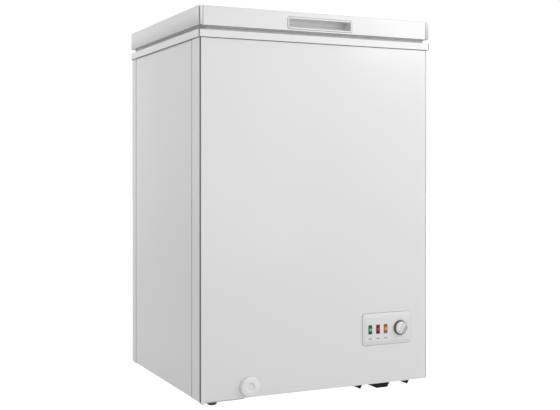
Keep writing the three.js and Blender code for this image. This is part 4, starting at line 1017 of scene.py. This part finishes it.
def stage():
    """A wide pale floor that glows a little and is seen as white."""
    bm = bmesh.new()
    size = 14.0
    corners = [(-size, -size), (size, -size), (size, size), (-size, size)]
    bm.faces.new([bm.verts.new((x, y, cad_low.z)) for x, y in corners])
    floor = from_bmesh("floor", bm)
    s = Shader("floor_paint", (0.35, 0.35, 0.35), 0.8)
    s.tint(s.noise(2.0, 4.0), 0.02)
    s.bsdf.inputs["Emission Color"].default_value = (1, 1, 1, 1)
    seen = s.node("ShaderNodeLightPath").outputs["Is Camera Ray"]
    glow = s.ramp(seen, FLOOR_LIGHT, FLOOR_SEEN, 0.0, 1.0)
    s.link(glow, s.bsdf.inputs["Emission Strength"])
    floor.data.materials.append(s.material)


def area_light(name, spot, target, size, power):
    """A soft white light of a size in metres and a power in watts, which the view doesn't show."""
    light = bpy.data.lights.new(name, "AREA")
    light.shape = "RECTANGLE"
    light.size, light.size_y = size
    light.energy = power
    obj = bpy.data.objects.new(name, light)
    obj.location = spot
    obj.rotation_euler = (Vector(target) - Vector(spot)).to_track_quat("-Z", "Y").to_euler()
    obj.visible_camera = False
    bpy.context.scene.collection.objects.link(obj)


def lights():
    """An even sky and four soft lights."""
    world = bpy.data.worlds.new("studio")
    bpy.context.scene.world = world
    world.use_nodes = True
    tree = world.node_tree
    sky = tree.nodes["Background"]
    sky.inputs["Color"].default_value = (1, 1, 1, 1)
    sky.inputs["Strength"].default_value = SKY_LIGHT
    seen = tree.nodes.new("ShaderNodeBackground")
    seen.inputs["Color"].default_value = (1, 1, 1, 1)
    seen.inputs["Strength"].default_value = SKY_SEEN
    path = tree.nodes.new("ShaderNodeLightPath")
    mix = tree.nodes.new("ShaderNodeMixShader")
    tree.links.new(path.outputs["Is Camera Ray"], mix.inputs[0])
    tree.links.new(sky.outputs[0], mix.inputs[1])
    tree.links.new(seen.outputs[0], mix.inputs[2])
    tree.links.new(mix.outputs[0], tree.nodes["World Output"].inputs["Surface"])
    area_light("front", (0.3, -3.0, 0.5), (0.0, -0.26, 0.4), (2.0, 2.0), 17)
    area_light("key", (0.85, -1.05, 1.15), (0.15, -0.26, 0.6), (0.6, 0.6), 5.4)
    area_light("fill", (-0.9, 0.55, 0.75), (-0.28, 0.1, 0.5), (0.5, 0.9), 2.2)
    area_light("top", (0.3, 0.6, 3.4), (0, 0, 0.45), (2.5, 2.5), 12)


def camera():
    """A level camera half a metre up, at the front left, with its horizon above the middle."""
    data = bpy.data.cameras.new("camera")
    data.sensor_fit = "HORIZONTAL"
    data.sensor_width = 36
    data.lens = 62.2221
    data.shift_y = -0.066607
    data.clip_end = 50
    obj = bpy.data.objects.new("camera", data)
    panel_low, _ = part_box("front_panel")
    side_low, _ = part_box("left_side_panel")
    # its place from the cabinet's front left corner, and its turn to the right in radians
    from_corner, turn = Vector((-711.1, -1899.0, 509.1)) * MM, 0.441
    obj.location = Vector((side_low.x, panel_low.y, 0)) + from_corner
    obj.rotation_euler = (math.radians(90), 0, -turn)
    bpy.context.scene.collection.objects.link(obj)
    bpy.context.scene.camera = obj


# ---------------------------------------------------------------- assembly
bpy.context.scene.view_settings.view_transform = "Standard"
dress_frame()
lid_cover()
fascia_strip()
door_seal()
fascia_and_corner_shade()
seam_shade_strips()
crease_shade_lines()
control_plate()
lamps()
knob()
pointer_mark()
drain_cap()
drain_stopper()
round_feet()
wire_basket()
hinge_springs()
stage()
lights()
camera()
